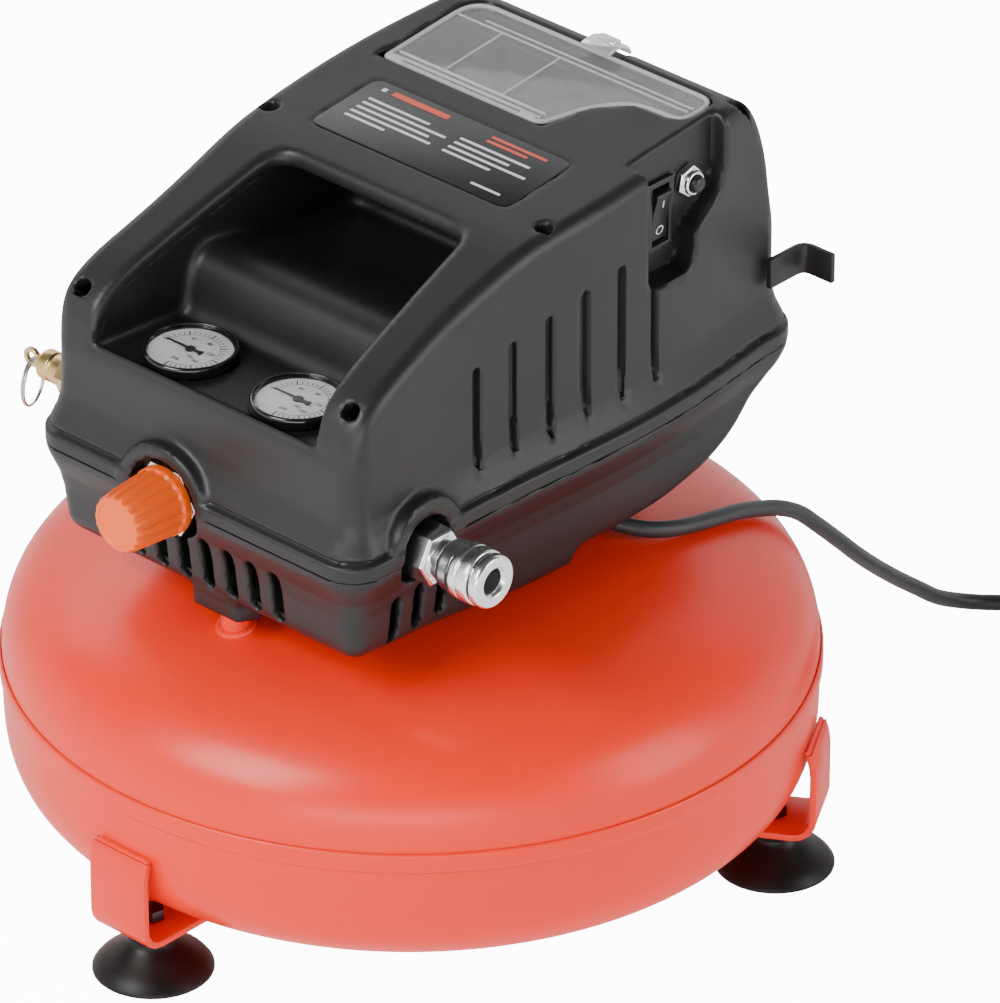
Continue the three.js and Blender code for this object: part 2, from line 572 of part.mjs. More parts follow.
// ---------------------------------------------------------------- lower shell
// The lower edge seen from the side: it clears the tank's crown, steps up, then rises at the rear.
const LOWER_SIDE = [
  [BELT.front - 6, 161.5], [-112, 160.5], [-45, 150.5], [-20, 147.6], [14, 147.6], [17, 155.5], [66, 155.5],
  [101, 159.7], [118, 168.5], [127, 180], [BELT.rear + 6, 200], [BELT.rear + 6, 210], [BELT.front - 6, 210],
];
const SLOT = { width: 6.2, front: 8, firstX: -50, step: 13, low: 167, high: 190, sideY: [-97, -82, -67] };

function lowerBody(depth) {
  const top = BELT.parting - GAP / 2;
  return loft([
    { z: 140 - (depth ? 10 : 0), outline: plan(LOWER.tuck + 1.5 + depth) },
    { z: LOWER.tuckLow, outline: plan(LOWER.tuck + depth) },
    { z: LOWER.tuckTop, outline: plan(1.5 + depth) },
    { z: top + (depth ? 8 : 0), outline: plan(depth) },
  ]);
}

function ventSlots() {
  const half = SLOT.width / 2;
  const front = Array.from({ length: SLOT.front }, (_, i) => {
    const x = SLOT.firstX + i * SLOT.step;
    return box(x - half, x + half, BELT.front - 2, BELT.front + 22, SLOT.low, SLOT.high);
  });
  const side = SLOT.sideY.map((y) => box(60, WIDEST, y - half, y + half, SLOT.low - 4, SLOT.high - 6));
  return [...front, ...side];
}

function lowerShell() {
  const side = sideways(LOWER_SIDE, -WIDEST, WIDEST);
  const skin = cut(common(lowerBody(0), side), lowerBody(SHELL.wall));
  const sheet = box(-WIDEST, WIDEST, -113, 100, LOWER.floor, LOWER.floor + LOWER.floorSheet);
  const floor = common(sheet, lowerBody(1));
  const room = join(upperBody(SHELL.wall + GAP), upright(plan(1), 150, BELT.parting - GAP));
  const posts = eachScrew((x, y) => common(at(rod(BOSS.post, LOWER.floor + 1, BOSS.foot - GAP, 12), x, y), room));
  const pilots = eachScrew((x, y) => at(rod(BOSS.pilot, BOSS.foot - 14, BOSS.foot + 1, 10), x, y));
  const [ex, ey, ez] = CORD.exit;
  const bootSeat = ex - CORD.bootLength - GAP;
  const grommetBoss = box(WINDOW_HALF + 0.5, bootSeat, ey - 8, ey + 8, ez - CORD.bootRoot, LOWER.floor + 1);
  const window = box(-WINDOW_HALF, WINDOW_HALF, -46, 92, 150, LOWER.floor + 20);
  const lugBolt = at(rod(3, 150, 170), LUG.x, LUG.y);
  const tubeHole = at(rod(TUBE.radius + 1.5, 150, 170), TUBE.x, TUBE.y);
  return cut(
    join(skin, floor, ...posts, grommetBoss), ...pilots, window, lugBolt, tubeHole,
    ...portHoles(PORT.holeRadius, 20), reliefHole(), ...ventSlots(),
  );
}

const LUG = { x: 1, y: -104.5, radius: 9 };

// A welded boss on the crown that the front of the lower shell is bolted to.
function shroudLug() {
  const post = at(rod(LUG.radius, 120, LOWER.floor - GAP, 20), LUG.x, LUG.y);
  return cut(post, crownSolid(), at(rod(2.6, LOWER.floor - 12, LOWER.floor + 2, 12), LUG.x, LUG.y));
}

// ---------------------------------------------------------------- pump saddle on the tank
const SADDLE = { half: 29, front: -45, rear: 90, sheet: 2.6, legs: 8 };

function pumpSaddle() {
  const { half, front, rear, sheet, legs } = SADDLE;
  const top = MOTOR.foot - GAP;
  const plate = box(-half, half, front, rear, top - sheet, top);
  const feet = [[-half, front], [half - legs, front], [-half, rear - legs], [half - legs, rear - legs]].map(
    ([x, y]) => box(x, x + legs, y, y + legs, 130, top - 1),
  );
  return cut(join(plate, ...feet), crownSolid());
}

// ---------------------------------------------------------------- motor and pump
const alongShaft = (geometry) => geometry.rotateX(-Math.PI / 2);

function motorStator() {
  const { radius, rear, length, rotor, shaft, wall, foot, z } = MOTOR;
  const can = at(alongShaft(rod(radius, rear - length, rear, 28)), 0, 0, z);
  const base = box(-24, 24, rear - length, rear, foot, z);
  const bore = at(alongShaft(rod(rotor + 0.8, rear - length + wall, rear - wall, 28)), 0, 0, z);
  const journal = at(alongShaft(rod(shaft + RUNNING, rear - length - 2, rear + 2)), 0, 0, z);
  return cut(join(can, base), bore, journal);
}

const FAN = { rear: -62, depth: 10, hub: 10, radius: 33, blades: 6, sheet: 3 };

function motorRotor() {
  const { rear, length, rotor, shaft, wall } = MOTOR;
  const { start, thickness, disc, pin, pinLength } = CRANK;
  const core = alongShaft(rod(rotor, rear - length + wall + 4, rear - wall - 4, 24));
  const spindle = alongShaft(rod(shaft, FAN.rear - FAN.depth, start + 1));
  const web = alongShaft(rod(disc, start, start + thickness, 20));
  const crankPin = at(alongShaft(rod(pin, start + 1, start + thickness + pinLength, 12)), 0, 0, -CRANK.throw);
  return join(core, spindle, web, crankPin);
}

function coolingFan() {
  const { rear, depth, hub, radius, blades, sheet } = FAN;
  const start = rear - depth;
  const wheel = alongShaft(rod(hub, start, rear, 20));
  const vanes = Array.from({ length: blades }, (_, i) => box(-sheet / 2, sheet / 2, start + 1, rear - 1, 7, radius)
    .rotateY((2 * Math.PI * i) / blades));
  return cut(join(wheel, ...vanes), alongShaft(rod(MOTOR.shaft + GAP, start - 1, rear + 1)));
}

// Rod and piston of an oil-free wobble pump are one piece; heights are from the crank pin.
function wobblePiston() {
  const { radius, rodTop, crown, rod: width, bigEnd } = PISTON;
  const pinZ = MOTOR.z - CRANK.throw;
  const eye = alongShaft(rod(bigEnd, -width / 2, width / 2, 20));
  const shank = box(-width / 2, width / 2, -width / 2, width / 2, 2, rodTop - pinZ + 1);
  const disc = rod(radius, rodTop - pinZ, rodTop - pinZ + crown, 24);
  return cut(join(eye, shank, disc), alongShaft(rod(CRANK.pin + RUNNING, -width, width, 20)));
}

function cylinder() {
  const { wall, finStep, fins, fin, bottom, top } = CYLINDER;
  const bore = PISTON.radius + PISTON.slack;
  const rings = Array.from({ length: fins }, (_, i) => rod(
    bore + wall + fin, top - 3 - i * finStep - 2.5, top - 3 - i * finStep, 24,
  ));
  const barrel = join(rod(bore + wall, bottom, top, 24), ...rings);
  const legs = [-1, 1].map((s) => at(
    box(-3, 3, -11, 11, MOTOR.foot, bottom + 4), s * (bore + wall - 2.5), 0,
  ));
  return cut(join(barrel, ...legs), rod(bore, bottom - 3, top + 1, 24));
}

function cylinderHead() {
  const { wall, fin, top, headHeight } = CYLINDER;
  const half = PISTON.radius + PISTON.slack + wall + fin - 2;
  const corner = rounded([[-half, -half], [half, -half], [half, half], [-half, half]], [7, 7, 7, 7], 2);
  const block = upright(corner, top + GAP, top + GAP + headHeight);
  const ports = at(alongX(rod(TUBE.radius + GAP, half - 9, half + 3)), 0, TUBE.y - CRANK.cylinderY, TUBE.level);
  return cut(block, ports);
}

function dischargeTube() {
  const { radius, x, y, headX, level } = TUBE;
  const bend = 12;
  const start = headX - 6;
  const end = crownAt(Math.hypot(x, y)) - 4;
  const path = new THREE.CurvePath();
  const point = (px, pz) => new THREE.Vector3(px, y, pz);
  path.add(new THREE.LineCurve3(point(start, level), point(x - bend, level)));
  path.add(new THREE.QuadraticBezierCurve3(point(x - bend, level), point(x, level), point(x, level - bend)));
  path.add(new THREE.LineCurve3(point(x, level - bend), point(x, end)));
  const circle = Array.from({ length: 8 }, (_, i) => [
    radius * Math.cos((i * Math.PI) / 4), radius * Math.sin((i * Math.PI) / 4),
  ]);
  return new THREE.ExtrudeGeometry(shapeOf(circle), { steps: 20, extrudePath: path, bevelEnabled: false });
}

const PRESSURE_BOX = { x0: -66, x1: -41, y0: -30, y1: 24, z0: 164, z1: 216 };

function pressureSwitch() {
  const { x0, x1, y0, y1, z0, z1 } = PRESSURE_BOX;
  const nipple = at(alongMinusY(rod(5, -y0 - 1, -MANIFOLD.rear - GAP)), (x0 + x1) / 2, 0, PORT.z);
  return join(box(x0, x1, y0, y1, z0, z1), nipple);
}

// ---------------------------------------------------------------- air manifold, gauges and fittings
const MANIFOLD = { left: -62, right: 50, front: -104, rear: -76, low: 191, high: 219.5 };

function airManifold() {
  const { left, right, front, rear, low, high } = MANIFOLD;
  return box(left, right, front, rear, low, high);
}

function gaugeCase() {
  const { radius, bezel, dial, stem, proud, depth } = GAUGE;
  const top = CONSOLE.floor + proud;
  const seat = CONSOLE.floor + GAP;
  const base = CONSOLE.floor - depth;
  return turned([
    [0, MANIFOLD.high + GAP], [stem, MANIFOLD.high + GAP], [stem, base], [radius, base], [radius, seat],
    [bezel, seat], [bezel, top - 1], [bezel - 0.8, top], [dial + 1.6, top], [dial + 1.6, top - 2],
    [dial + 0.6, top - 2], [dial + 0.6, top - 4.4], [dial - 1.2, top - 4.4], [dial - 1.2, base + 1.4],
    [0, base + 1.4],
  ], 24);
}

function gaugeDial() {
  const top = GAUGE.proud - 4.4;
  return rod(GAUGE.dial, top + GAP, top + 1.1, 24);
}

const NEEDLE = { hub: 2.2, length: 13, tail: 6, wide: 0.9, sheet: 0.6 };

// The pointer lies along -X of the dial at rest, over the scale's zero.
function gaugeNeedle() {
  const low = GAUGE.proud - 4.4 + 1.4;
  const blade = upright([[-NEEDLE.length, -0.2], [NEEDLE.tail, -NEEDLE.wide], [NEEDLE.tail, NEEDLE.wide],
    [-NEEDLE.length, 0.2]], low, low + NEEDLE.sheet);
  return join(blade, rod(NEEDLE.hub, low, low + 0.9, 12));
}

function gaugeLens() {
  return rod(GAUGE.dial + 1.6 - GAP, GAUGE.proud - 2 + GAP, GAUGE.proud - 0.6, 24);
}

function addGauges(parent) {
  for (const [name, side] of [["tank", -1], ["outlet", 1]]) {
    const gauge = group(parent);
    gauge.position.set(side * GAUGE.x, GAUGE.y, 0);
    piece(name + "_gauge_case", gaugeCase(), FINISH.blackPlastic, gauge);
    piece(name + "_gauge_dial", gaugeDial(), FINISH.dial, gauge).position.z = CONSOLE.floor;
    piece(name + "_gauge_needle", gaugeNeedle(), FINISH.blackPlastic, gauge).position.z = CONSOLE.floor;
    piece(name + "_gauge_lens", gaugeLens(), FINISH.clear, gauge).position.z = CONSOLE.floor;
  }
}

// Regulator pieces are turned about +Z and then laid along -Y; distances are -y.
function regulatorBody() {
  const start = -MANIFOLD.front + GAP;
  const seat = -KNOB.rear - GAP - 3;
  return alongMinusY(join(rod(10, start, seat - GAP, 20), rod(7, start, seat + 3.2, 16), rod(4.2, start, -KNOB.rear + 9)));
}

function regulatorRingNut() {
  const seat = -KNOB.rear - GAP - 3;
  return alongMinusY(cut(hexBar(26.5, seat, seat + 3), rod(7 + GAP, seat - 1, seat + 5)));
}

function regulatorKnob() {
  const { baseRadius, faceRadius, rear, face, flutes, flute } = KNOB;
  const outline = (radius, depth) => Array.from({ length: 2 * flutes }, (_, i) => {
    const r = radius - (i % 2 ? depth : 0);
    return [r * Math.cos((i * Math.PI) / flutes), r * Math.sin((i * Math.PI) / flutes)];
  });
  const body = loft([
    { z: -rear, outline: outline(baseRadius, 0.3) },
    { z: -rear + 4, outline: outline(baseRadius, 0.3) },
    { z: -rear + 5, outline: outline(baseRadius - 0.8, flute) },
    { z: -face - 1, outline: outline(faceRadius, flute) },
    { z: -face, outline: outline(faceRadius - 1, 0.2) },
  ]);
  return alongMinusY(cut(body, rod(4.2 + RUNNING, -rear - 1, -rear + 10)));
}

function couplerBody() {
  const { flange, hexEnd, face, barrel, bore, boreDepth, sleeveEnd } = COUPLER;
  const stack = join(
    rod(6.5, MANIFOLD.right + GAP, flange + 1), hexBar(22, flange, flange + 4), hexBar(17, flange + 3, hexEnd),
    rod(barrel, hexEnd - 1, face, 24), rod(COUPLER.sleeve - 0.5, sleeveEnd + 1.2, face, 24),
  );
  return alongX(cut(stack, rod(bore, face - boreDepth, face + 1, 20)));
}

function couplerSleeve() {
  const { barrel, sleeve, sleeveEnd, sleeveLength } = COUPLER;
  const [start, inner] = [sleeveEnd - sleeveLength, barrel + RUNNING];
  return alongX(turned([
    [inner, start], [sleeve - 1.6, start], [sleeve - 1.6, start + 7], [sleeve, start + 8.5], [sleeve, sleeveEnd],
    [inner, sleeveEnd], [inner, start],
  ], 24));
}

function safetyValveBody() {
  const { hexStart, hexEnd, bodyEnd } = RELIEF;
  const stack = join(
    rod(5.5, -MANIFOLD.left + GAP, -hexStart + 1), hexBar(15, -hexStart, -hexEnd), rod(6.6, -hexEnd - 1, -bodyEnd, 20),
  );
  return alongMinusX(cut(stack, rod(1.8 + RUNNING, -bodyEnd - 8, -bodyEnd + 1, 12)));
}

// The pull stem ends in a flat eye that the split ring hangs in.
function safetyValveStem() {
  const { bodyEnd, eye } = RELIEF;
  const shank = alongMinusX(rod(1.8, -bodyEnd - 6, -eye - 3, 12));
  const tab = alongShaft(rod(4.4, -1.2, 1.2, 16)).translate(eye, 0, 0);
  const hole = alongShaft(rod(2.4, -3, 3, 16)).translate(eye, 0, 0);
  return cut(join(shank, tab), hole);
}

function safetyValveRing() {
  return new THREE.TorusGeometry(RELIEF.ring, RELIEF.wire, 8, 28).rotateY(Math.PI / 2)
    .rotateZ(THREE.MathUtils.degToRad(20));
}

// ---------------------------------------------------------------- small outside pieces
function cordHook() {
  const [x, root, out, across, radius] = [80.5, 128, 153, 97, 4];
  const line = [
    [x, root], [x, out - radius - 1.3], [x + 0.3 * radius, out - 1.3 - 0.3 * radius], [x + radius, out - 1.3],
    [across, out - 1.3],
  ];
  const strap = upright(strip(line, 2.6), 231.5, 245);
  return cut(strap, upperBody(-GAP));
}

function shellScrew() {
  const low = BOSS.seat + GAP;
  return join(rod(BOSS.head, low, low + 3, 12), rod(BOSS.shank, BOSS.foot - 12, low + 1, 8));
}

function addShellScrews(parent) {
  const rows = ["front", "middle", "rear"];
  for (const side of [-1, 1])
    SCREWS.forEach(({ x, y }, i) => {
      const name = (side < 0 ? "left_" : "right_") + rows[i] + "_shell_screw";
      piece(name, shellScrew(), FINISH.iron, parent).position.set(side * x, y, 0);
    });
}

// ---------------------------------------------------------------- lead, coil, tie and plug
function strainRelief() {
  const { bootLength, bootRoot, bootTip } = CORD;
  return alongX(turned([[0, 0], [bootRoot, 0], [bootTip, bootLength], [0, bootLength]], 12));
}

// A larger tank pushes the lead outward and lifts it off the crown.
function leadRoute() {
  const grown = TANK.radius - LEAD_TANK;
  return LEAD_ROUTE.map(([x, y, z]) => {
    const out = y + grown * Math.min(1, Math.max(0, (y - CORD.exit[1]) / 100));
    const reach = Math.hypot(x, out);
    const rest = reach < TANK.radius ? crownAt(reach) + CORD.diameter / 2 + GAP : 0;
    return new THREE.Vector3(x, out, Math.max(z, rest));
  });
}

function powerCord() {
  const curve = new THREE.CatmullRomCurve3(leadRoute(), false, "centripetal");
  const r = CORD.diameter / 2;
  const circle = Array.from({ length: CORD.sides }, (_, i) => [
    r * Math.cos((2 * Math.PI * i) / CORD.sides), r * Math.sin((2 * Math.PI * i) / CORD.sides),
  ]);
  const steps = Math.min(60, Math.round(curve.getLength() / (2 * CORD.diameter)));
  return new THREE.ExtrudeGeometry(shapeOf(circle), { steps, extrudePath: curve, bevelEnabled: false });
}

function cordCoil() {
  const { inner, outer, height, lift } = COIL;
  return turned([[inner, lift], [outer, lift], [outer, lift + height], [inner, lift + height], [inner, lift]], 32);
}

function coilTie() {
  const { inner, outer, height, lift, tie, tieWidth } = COIL;
  const ring = (grow) => box(
    -tieWidth / 2, tieWidth / 2, inner - 1.2 - grow, outer + 0.5 + grow,
    lift - GAP - grow, lift + height + GAP + grow,
  );
  return cut(ring(tie), ring(0).scale(1.5, 1, 1));
}

// The plug runs away along -Y from the coil's outer turn; its cable end is at the origin.
function powerPlug() {
  const { boot, body, width, height, blade } = PLUG;
  const r = CORD.diameter / 2;
  const z0 = COIL.lift + r;
  const level = height / 2 + 0.2;
  const square = (half, z, y) => [[-half, y, z - half], [half, y, z - half], [half, y, z + half], [-half, y, z + half]];
  const ends = [square(r * 0.9, z0, 0), square(6, level, -boot)];
  const points = ends.flat().map((p) => new THREE.Vector3(...p));
  const faces = [
    [0, 1, 2], [0, 2, 3], [4, 6, 5], [4, 7, 6], [0, 4, 5], [0, 5, 1], [1, 5, 6], [1, 6, 2], [2, 6, 7], [2, 7, 3],
    [3, 7, 4], [3, 4, 0],
  ];
  const taper = new THREE.BufferGeometry().setFromPoints(faces.flat().map((i) => points[i]));
  const outline = rounded(
    [[-width / 2, -boot - body], [width / 2, -boot - body], [0.3 * width, -boot], [-0.3 * width, -boot]], [2, 2, 4, 4], 2,
  );
  const grip = upright(outline, 0.2, 0.2 + height);
  const tip = -boot - body;
  const blades = [-6.35, 6.35].map((x) => box(x - 0.8, x + 0.8, tip - blade, tip + 1, level - 6, level + 0.3));
  const earth = at(alongMinusY(rod(2.4, -tip - 1, -tip + blade + 2, 10)), 0, 0, level + 6);
  return join(taper, grip, ...blades, earth);
}

// ---------------------------------------------------------------- assembly
const compressor = new THREE.Group();
// The object's frame has its origin under the middle of its footprint, so the tank's axis is offset.
compressor.position.y = (FOOT.circle + FOOT.rim - TANK.radius - TANK.lapStep) / 2;

const tank = group(compressor);
piece("tank_upper_half", tankUpperHalf(), FINISH.tankPaint, tank);
piece("tank_lower_half", tankLowerHalf(), FINISH.tankPaint, tank);
piece("drain_cock_body", drainBody(), FINISH.brass, tank);
piece("drain_cock_handle", drainHandle(), FINISH.brass, tank);
addFeet(tank);

const shroud = group(compressor);
piece("lower_shell", lowerShell(), FINISH.plastic, shroud);
piece("upper_shell", upperShell(), FINISH.plastic, shroud);
piece("console_tub", consoleTub(), FINISH.blackPlastic, shroud);
piece("cord_hook", cordHook(), FINISH.plastic, shroud);
addShellScrews(shroud);

const deck = group(shroud);
deck.position.set(0, LID.front, deckAt(LID.front));
deck.rotation.x = deckTilt;
for (const [name, geometry, material] of [
  ["storage_tray", storageTray(), FINISH.blackPlastic],
  ["tray_lid", lidSheet(), FINISH.clear],
  ["lid_latch", lidLatch(), FINISH.clear],
])
  piece(name, geometry.translate(0, -LID.front, 0), material, deck);

const switches = group(shroud);
piece("rocker_frame", rockerFrame(), FINISH.blackPlastic, switches);
piece("rocker_switch", rockerPaddle(), FINISH.blackPlastic, switches).position.set(ROCKER.pivot, SWITCH.y, SWITCH.z);
piece("reset_nut", resetNut(), FINISH.chrome, switches).position.set(0, SWITCH.resetY, SWITCH.resetZ);
const resetButton = alongX(rod(RESET.button, SWITCH.panel - RESET.back, SWITCH.panel + RESET.out, 16));
piece("reset_button", resetButton, FINISH.blackPlastic, switches).position.set(0, SWITCH.resetY, SWITCH.resetZ);

const air = group(compressor);
piece("air_manifold", airManifold(), FINISH.brass, air);
piece("pressure_switch", pressureSwitch(), FINISH.blackPlastic, air);
addGauges(air);
const regulator = group(air);
regulator.position.set(KNOB.x, 0, PORT.z);
piece("regulator_body", regulatorBody(), FINISH.brass, regulator);
piece("regulator_ring_nut", regulatorRingNut(), FINISH.chrome, regulator);
piece("regulator_knob", regulatorKnob(), FINISH.knob, regulator);
const coupler = group(air);
coupler.position.set(0, COUPLER.y, PORT.z);
piece("coupler_body", couplerBody(), FINISH.chrome, coupler);
piece("coupler_sleeve", couplerSleeve(), FINISH.chrome, coupler);
const relief = group(air);
relief.position.set(0, RELIEF.y, RELIEF.z);
piece("safety_valve_body", safetyValveBody(), FINISH.brass, relief);
piece("safety_valve_stem", safetyValveStem(), FINISH.brass, relief);
piece("safety_valve_ring", safetyValveRing(), FINISH.steel, relief)
  .position.set(RELIEF.eye, 0, -RELIEF.ring - 1.1);

const pump = group(compressor);
piece("motor_stator", motorStator(), FINISH.iron, pump);
piece("motor_rotor", motorRotor(), FINISH.steel, pump).position.z = MOTOR.z;
piece("cooling_fan", coolingFan(), FINISH.blackPlastic, pump).position.z = MOTOR.z;
piece("wobble_piston", wobblePiston(), FINISH.aluminium, pump)
  .position.set(0, CRANK.cylinderY, MOTOR.z - CRANK.throw);
piece("cylinder", cylinder(), FINISH.aluminium, pump).position.y = CRANK.cylinderY;
piece("cylinder_head", cylinderHead(), FINISH.aluminium, pump).position.y = CRANK.cylinderY;
piece("discharge_tube", dischargeTube(), FINISH.steel, pump);

const lead = group(compressor);
const [exitX, exitY, exitZ] = CORD.exit;
piece("strain_relief", strainRelief(), FINISH.rubber, lead).position.set(exitX - CORD.bootLength, exitY, exitZ);
piece("power_cord", powerCord(), FINISH.rubber, lead);
piece("cord_coil", cordCoil(), FINISH.rubber, lead).position.set(COIL.x, COIL.y, 0);
const tie = piece("coil_tie", coilTie(), FINISH.blackPlastic, lead);
tie.position.set(COIL.x, COIL.y, 0);
tie.rotation.z = THREE.MathUtils.degToRad(-20);
const outerTurn = COIL.outer - CORD.diameter / 2;
piece("power_plug", powerPlug(), FINISH.rubber, lead).position.set(COIL.x + outerTurn, COIL.y - PLUG.offset, 0);

export default compressor;
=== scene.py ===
# %% [markdown]
# # Pancake air compressor
# Every size below is in millimetres about the tank's axis; place() turns it into the row frame.
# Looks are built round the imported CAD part, with one main piece for each CAD node that shows.

# %% Frame
import math
from functools import reduce

import bmesh
import bpy
import numpy as np
from mathutils import Matrix, Vector


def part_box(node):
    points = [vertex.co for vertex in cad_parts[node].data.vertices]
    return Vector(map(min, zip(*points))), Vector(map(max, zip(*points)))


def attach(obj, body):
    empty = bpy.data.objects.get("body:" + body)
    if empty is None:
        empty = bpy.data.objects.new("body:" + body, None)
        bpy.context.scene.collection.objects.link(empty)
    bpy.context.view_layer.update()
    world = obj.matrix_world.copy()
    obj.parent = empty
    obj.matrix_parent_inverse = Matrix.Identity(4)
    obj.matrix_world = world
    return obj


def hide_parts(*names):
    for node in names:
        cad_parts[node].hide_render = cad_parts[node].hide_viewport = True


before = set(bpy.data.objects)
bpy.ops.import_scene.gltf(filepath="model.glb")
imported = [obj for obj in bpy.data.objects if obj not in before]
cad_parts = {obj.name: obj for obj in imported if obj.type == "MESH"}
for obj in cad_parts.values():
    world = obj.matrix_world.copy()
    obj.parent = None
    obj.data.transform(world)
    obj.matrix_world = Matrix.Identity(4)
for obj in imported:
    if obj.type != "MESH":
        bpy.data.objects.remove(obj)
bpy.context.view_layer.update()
tank_low, tank_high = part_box("tank_upper_half")
AXIS_Y = (tank_low.y + tank_high.y) * 500
print("tank axis at y", round(AXIS_Y, 3), "mm; nodes", len(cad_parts))

# %% [markdown]
# ## Camera
# A long lens from the front right, thirty degrees up: the machine looks almost like a parallel view.
# It could be a wide lens near by, but then the tank would bulge.

# %% Camera
AZIMUTH, ELEVATION, DISTANCE, LENS = 42.7, 30.35, 4119, 358.9
AIM_UP, AIM_RIGHT = 154, 36.9

azimuth, elevation = math.radians(AZIMUTH), math.radians(ELEVATION)
aim = Vector((AIM_RIGHT * math.cos(azimuth), AIM_RIGHT * math.sin(azimuth) + AXIS_Y, AIM_UP)) / 1000
toward = Vector((
    math.sin(azimuth) * math.cos(elevation), -math.cos(azimuth) * math.cos(elevation), math.sin(elevation),
))
camera_data = bpy.data.cameras.new("camera")
camera_data.lens, camera_data.clip_end = LENS, 50
camera = bpy.data.objects.new("camera", camera_data)
camera.location = aim + toward * DISTANCE / 1000
camera.rotation_euler = toward.to_track_quat("Z", "Y").to_euler()
bpy.context.scene.collection.objects.link(camera)
bpy.context.scene.camera = camera
print("camera at", [round(v, 3) for v in camera.location])

# %% [markdown]
# ## Shapes
# Points and faces are made with numpy and joined before they become a mesh, so a piece is one mesh at
# the origin. Round pieces are turned outlines, bent ones are swept, and everything sharp gets a bevel.

# %% Shapes
AXES = {
    "+z": ((1, 0, 0), (0, 1, 0), (0, 0, 1)), "+x": ((0, 1, 0), (0, 0, 1), (1, 0, 0)),
    "-x": ((0, -1, 0), (0, 0, 1), (-1, 0, 0)), "-y": ((1, 0, 0), (0, 0, 1), (0, -1, 0)),
}


def place(points):
    return (np.asarray(points, float).reshape(-1, 3) + (0, AXIS_Y, 0)) / 1000


def merged(*parts):
    points, faces, count = [], [], 0
    for p, f in parts:
        points.append(np.asarray(p, float).reshape(-1, 3))
        faces += [[int(i) + count for i in face] for face in f]
        count += len(points[-1])
    return np.concatenate(points), faces


def moved(part, shift=(0, 0, 0), turn=None):
    points = np.asarray(part[0], float)
    if turn is not None:
        points = points @ np.array(turn).T
    return points + shift, part[1]


def turn_about(axis, degrees):
    return np.array(Matrix.Rotation(math.radians(degrees), 3, axis))


def turned(profile, segments=48, axis="+z", centre=(0, 0, 0), start=0.0):
    """A closed outline [radius, along] spun about an axis."""
    u, v, w = (np.array(a, float) for a in AXES[axis])
    angles = start + np.arange(segments) * 2 * math.pi / segments
    ring = np.cos(angles)[:, None] * u + np.sin(angles)[:, None] * v
    r, a = np.array(profile, float).T
    points = ring[:, None, :] * r[None, :, None] + a[None, :, None] * w + centre
    n = len(profile)
    faces = [
        [s * n + i, s * n + (i + 1) % n, (s + 1) % segments * n + (i + 1) % n, (s + 1) % segments * n + i]
        for s in range(segments) for i in range(n)
        if max(r[i], r[(i + 1) % n]) > 1e-6
    ]
    return points.reshape(-1, 3), faces


def soft(outline, cut=2.0, steps=3, closed=True):
    """The outline with its corners rounded, at most cut from each corner."""
    out, n = [], len(outline)
    cuts = cut if hasattr(cut, "__len__") else [cut] * n
    for i, here in enumerate(outline):
        p = np.array(here, float)
        if not closed and i in (0, n - 1) or cuts[i] <= 0:
            out.append(tuple(p))
            continue
        before, after = np.array(outline[i - 1], float), np.array(outline[(i + 1) % n], float)
        a = p + (before - p) * min(cuts[i] / np.linalg.norm(before - p), 0.48)
        b = p + (after - p) * min(cuts[i] / np.linalg.norm(after - p), 0.48)
        for k in range(steps + 1):
            t = k / steps
            out.append(tuple(a * (1 - t) ** 2 + p * 2 * t * (1 - t) + b * t * t))
    return out


def prism(outline, low, high, axis="+z"):
    """A flat outline pushed through from low to high along an axis."""
    u, v, w = (np.array(a, float) for a in AXES[axis])
    flat = np.array(outline, float)
    base = flat[:, :1] * u + flat[:, 1:] * v
    n = len(flat)
    faces = [list(range(n))[::-1], list(range(n, 2 * n))]
    faces += [[i, (i + 1) % n, n + (i + 1) % n, n + i] for i in range(n)]
    return np.concatenate([base + w * low, base + w * high]), faces


def block(x0, x1, y0, y1, z0, z1):
    return prism([(x0, y0), (x1, y0), (x1, y1), (x0, y1)], z0, z1)


def tube_faces(n, sides):
    """Four-sided faces of n rings of points, each joined to the next."""
    return [
        [i * sides + s, i * sides + (s + 1) % sides, (i + 1) * sides + (s + 1) % sides, (i + 1) * sides + s]
        for i in range(n - 1) for s in range(sides)
    ]


def swept(path, radius, sides=16, capped=True):
    """A round rod along a path; radius is one number or one for each point."""
    path = np.array(path, float)
    radii = np.broadcast_to(np.asarray(radius, float), (len(path),))
    tangents = np.gradient(path, axis=0)
    tangents /= np.linalg.norm(tangents, axis=1)[:, None]
    side = np.cross(tangents[0], (0, 0, 1) if abs(tangents[0][2]) < 0.9 else (1, 0, 0))
    rings = []
    for p, t, r in zip(path, tangents, radii):
        side = side - t * side.dot(t)
        side /= np.linalg.norm(side)
        other = np.cross(t, side)
        angle = np.arange(sides) * 2 * math.pi / sides
        rings.append(p + r * (np.cos(angle)[:, None] * side + np.sin(angle)[:, None] * other))
    n = len(path)
    faces = tube_faces(n, sides)
    if capped:
        faces += [list(range(sides))[::-1], list(range((n - 1) * sides, n * sides))]
    else:
        faces += [
            [(n - 1) * sides + s, (n - 1) * sides + (s + 1) % sides, (s + 1) % sides, s] for s in range(sides)
        ]
    return np.concatenate(rings), faces


def strip(line, sheet, left, right, axis="+x"):
    """Bent sheet: a line in the plane across the axis, with a thickness, from left to right."""
    line = np.array(line, float)
    t = np.gradient(line, axis=0)
    t /= np.linalg.norm(t, axis=1)[:, None]
    across = np.stack([-t[:, 1], t[:, 0]], 1) * sheet / 2
    return prism(np.concatenate([line + across, (line - across)[::-1]]), left, right, axis)


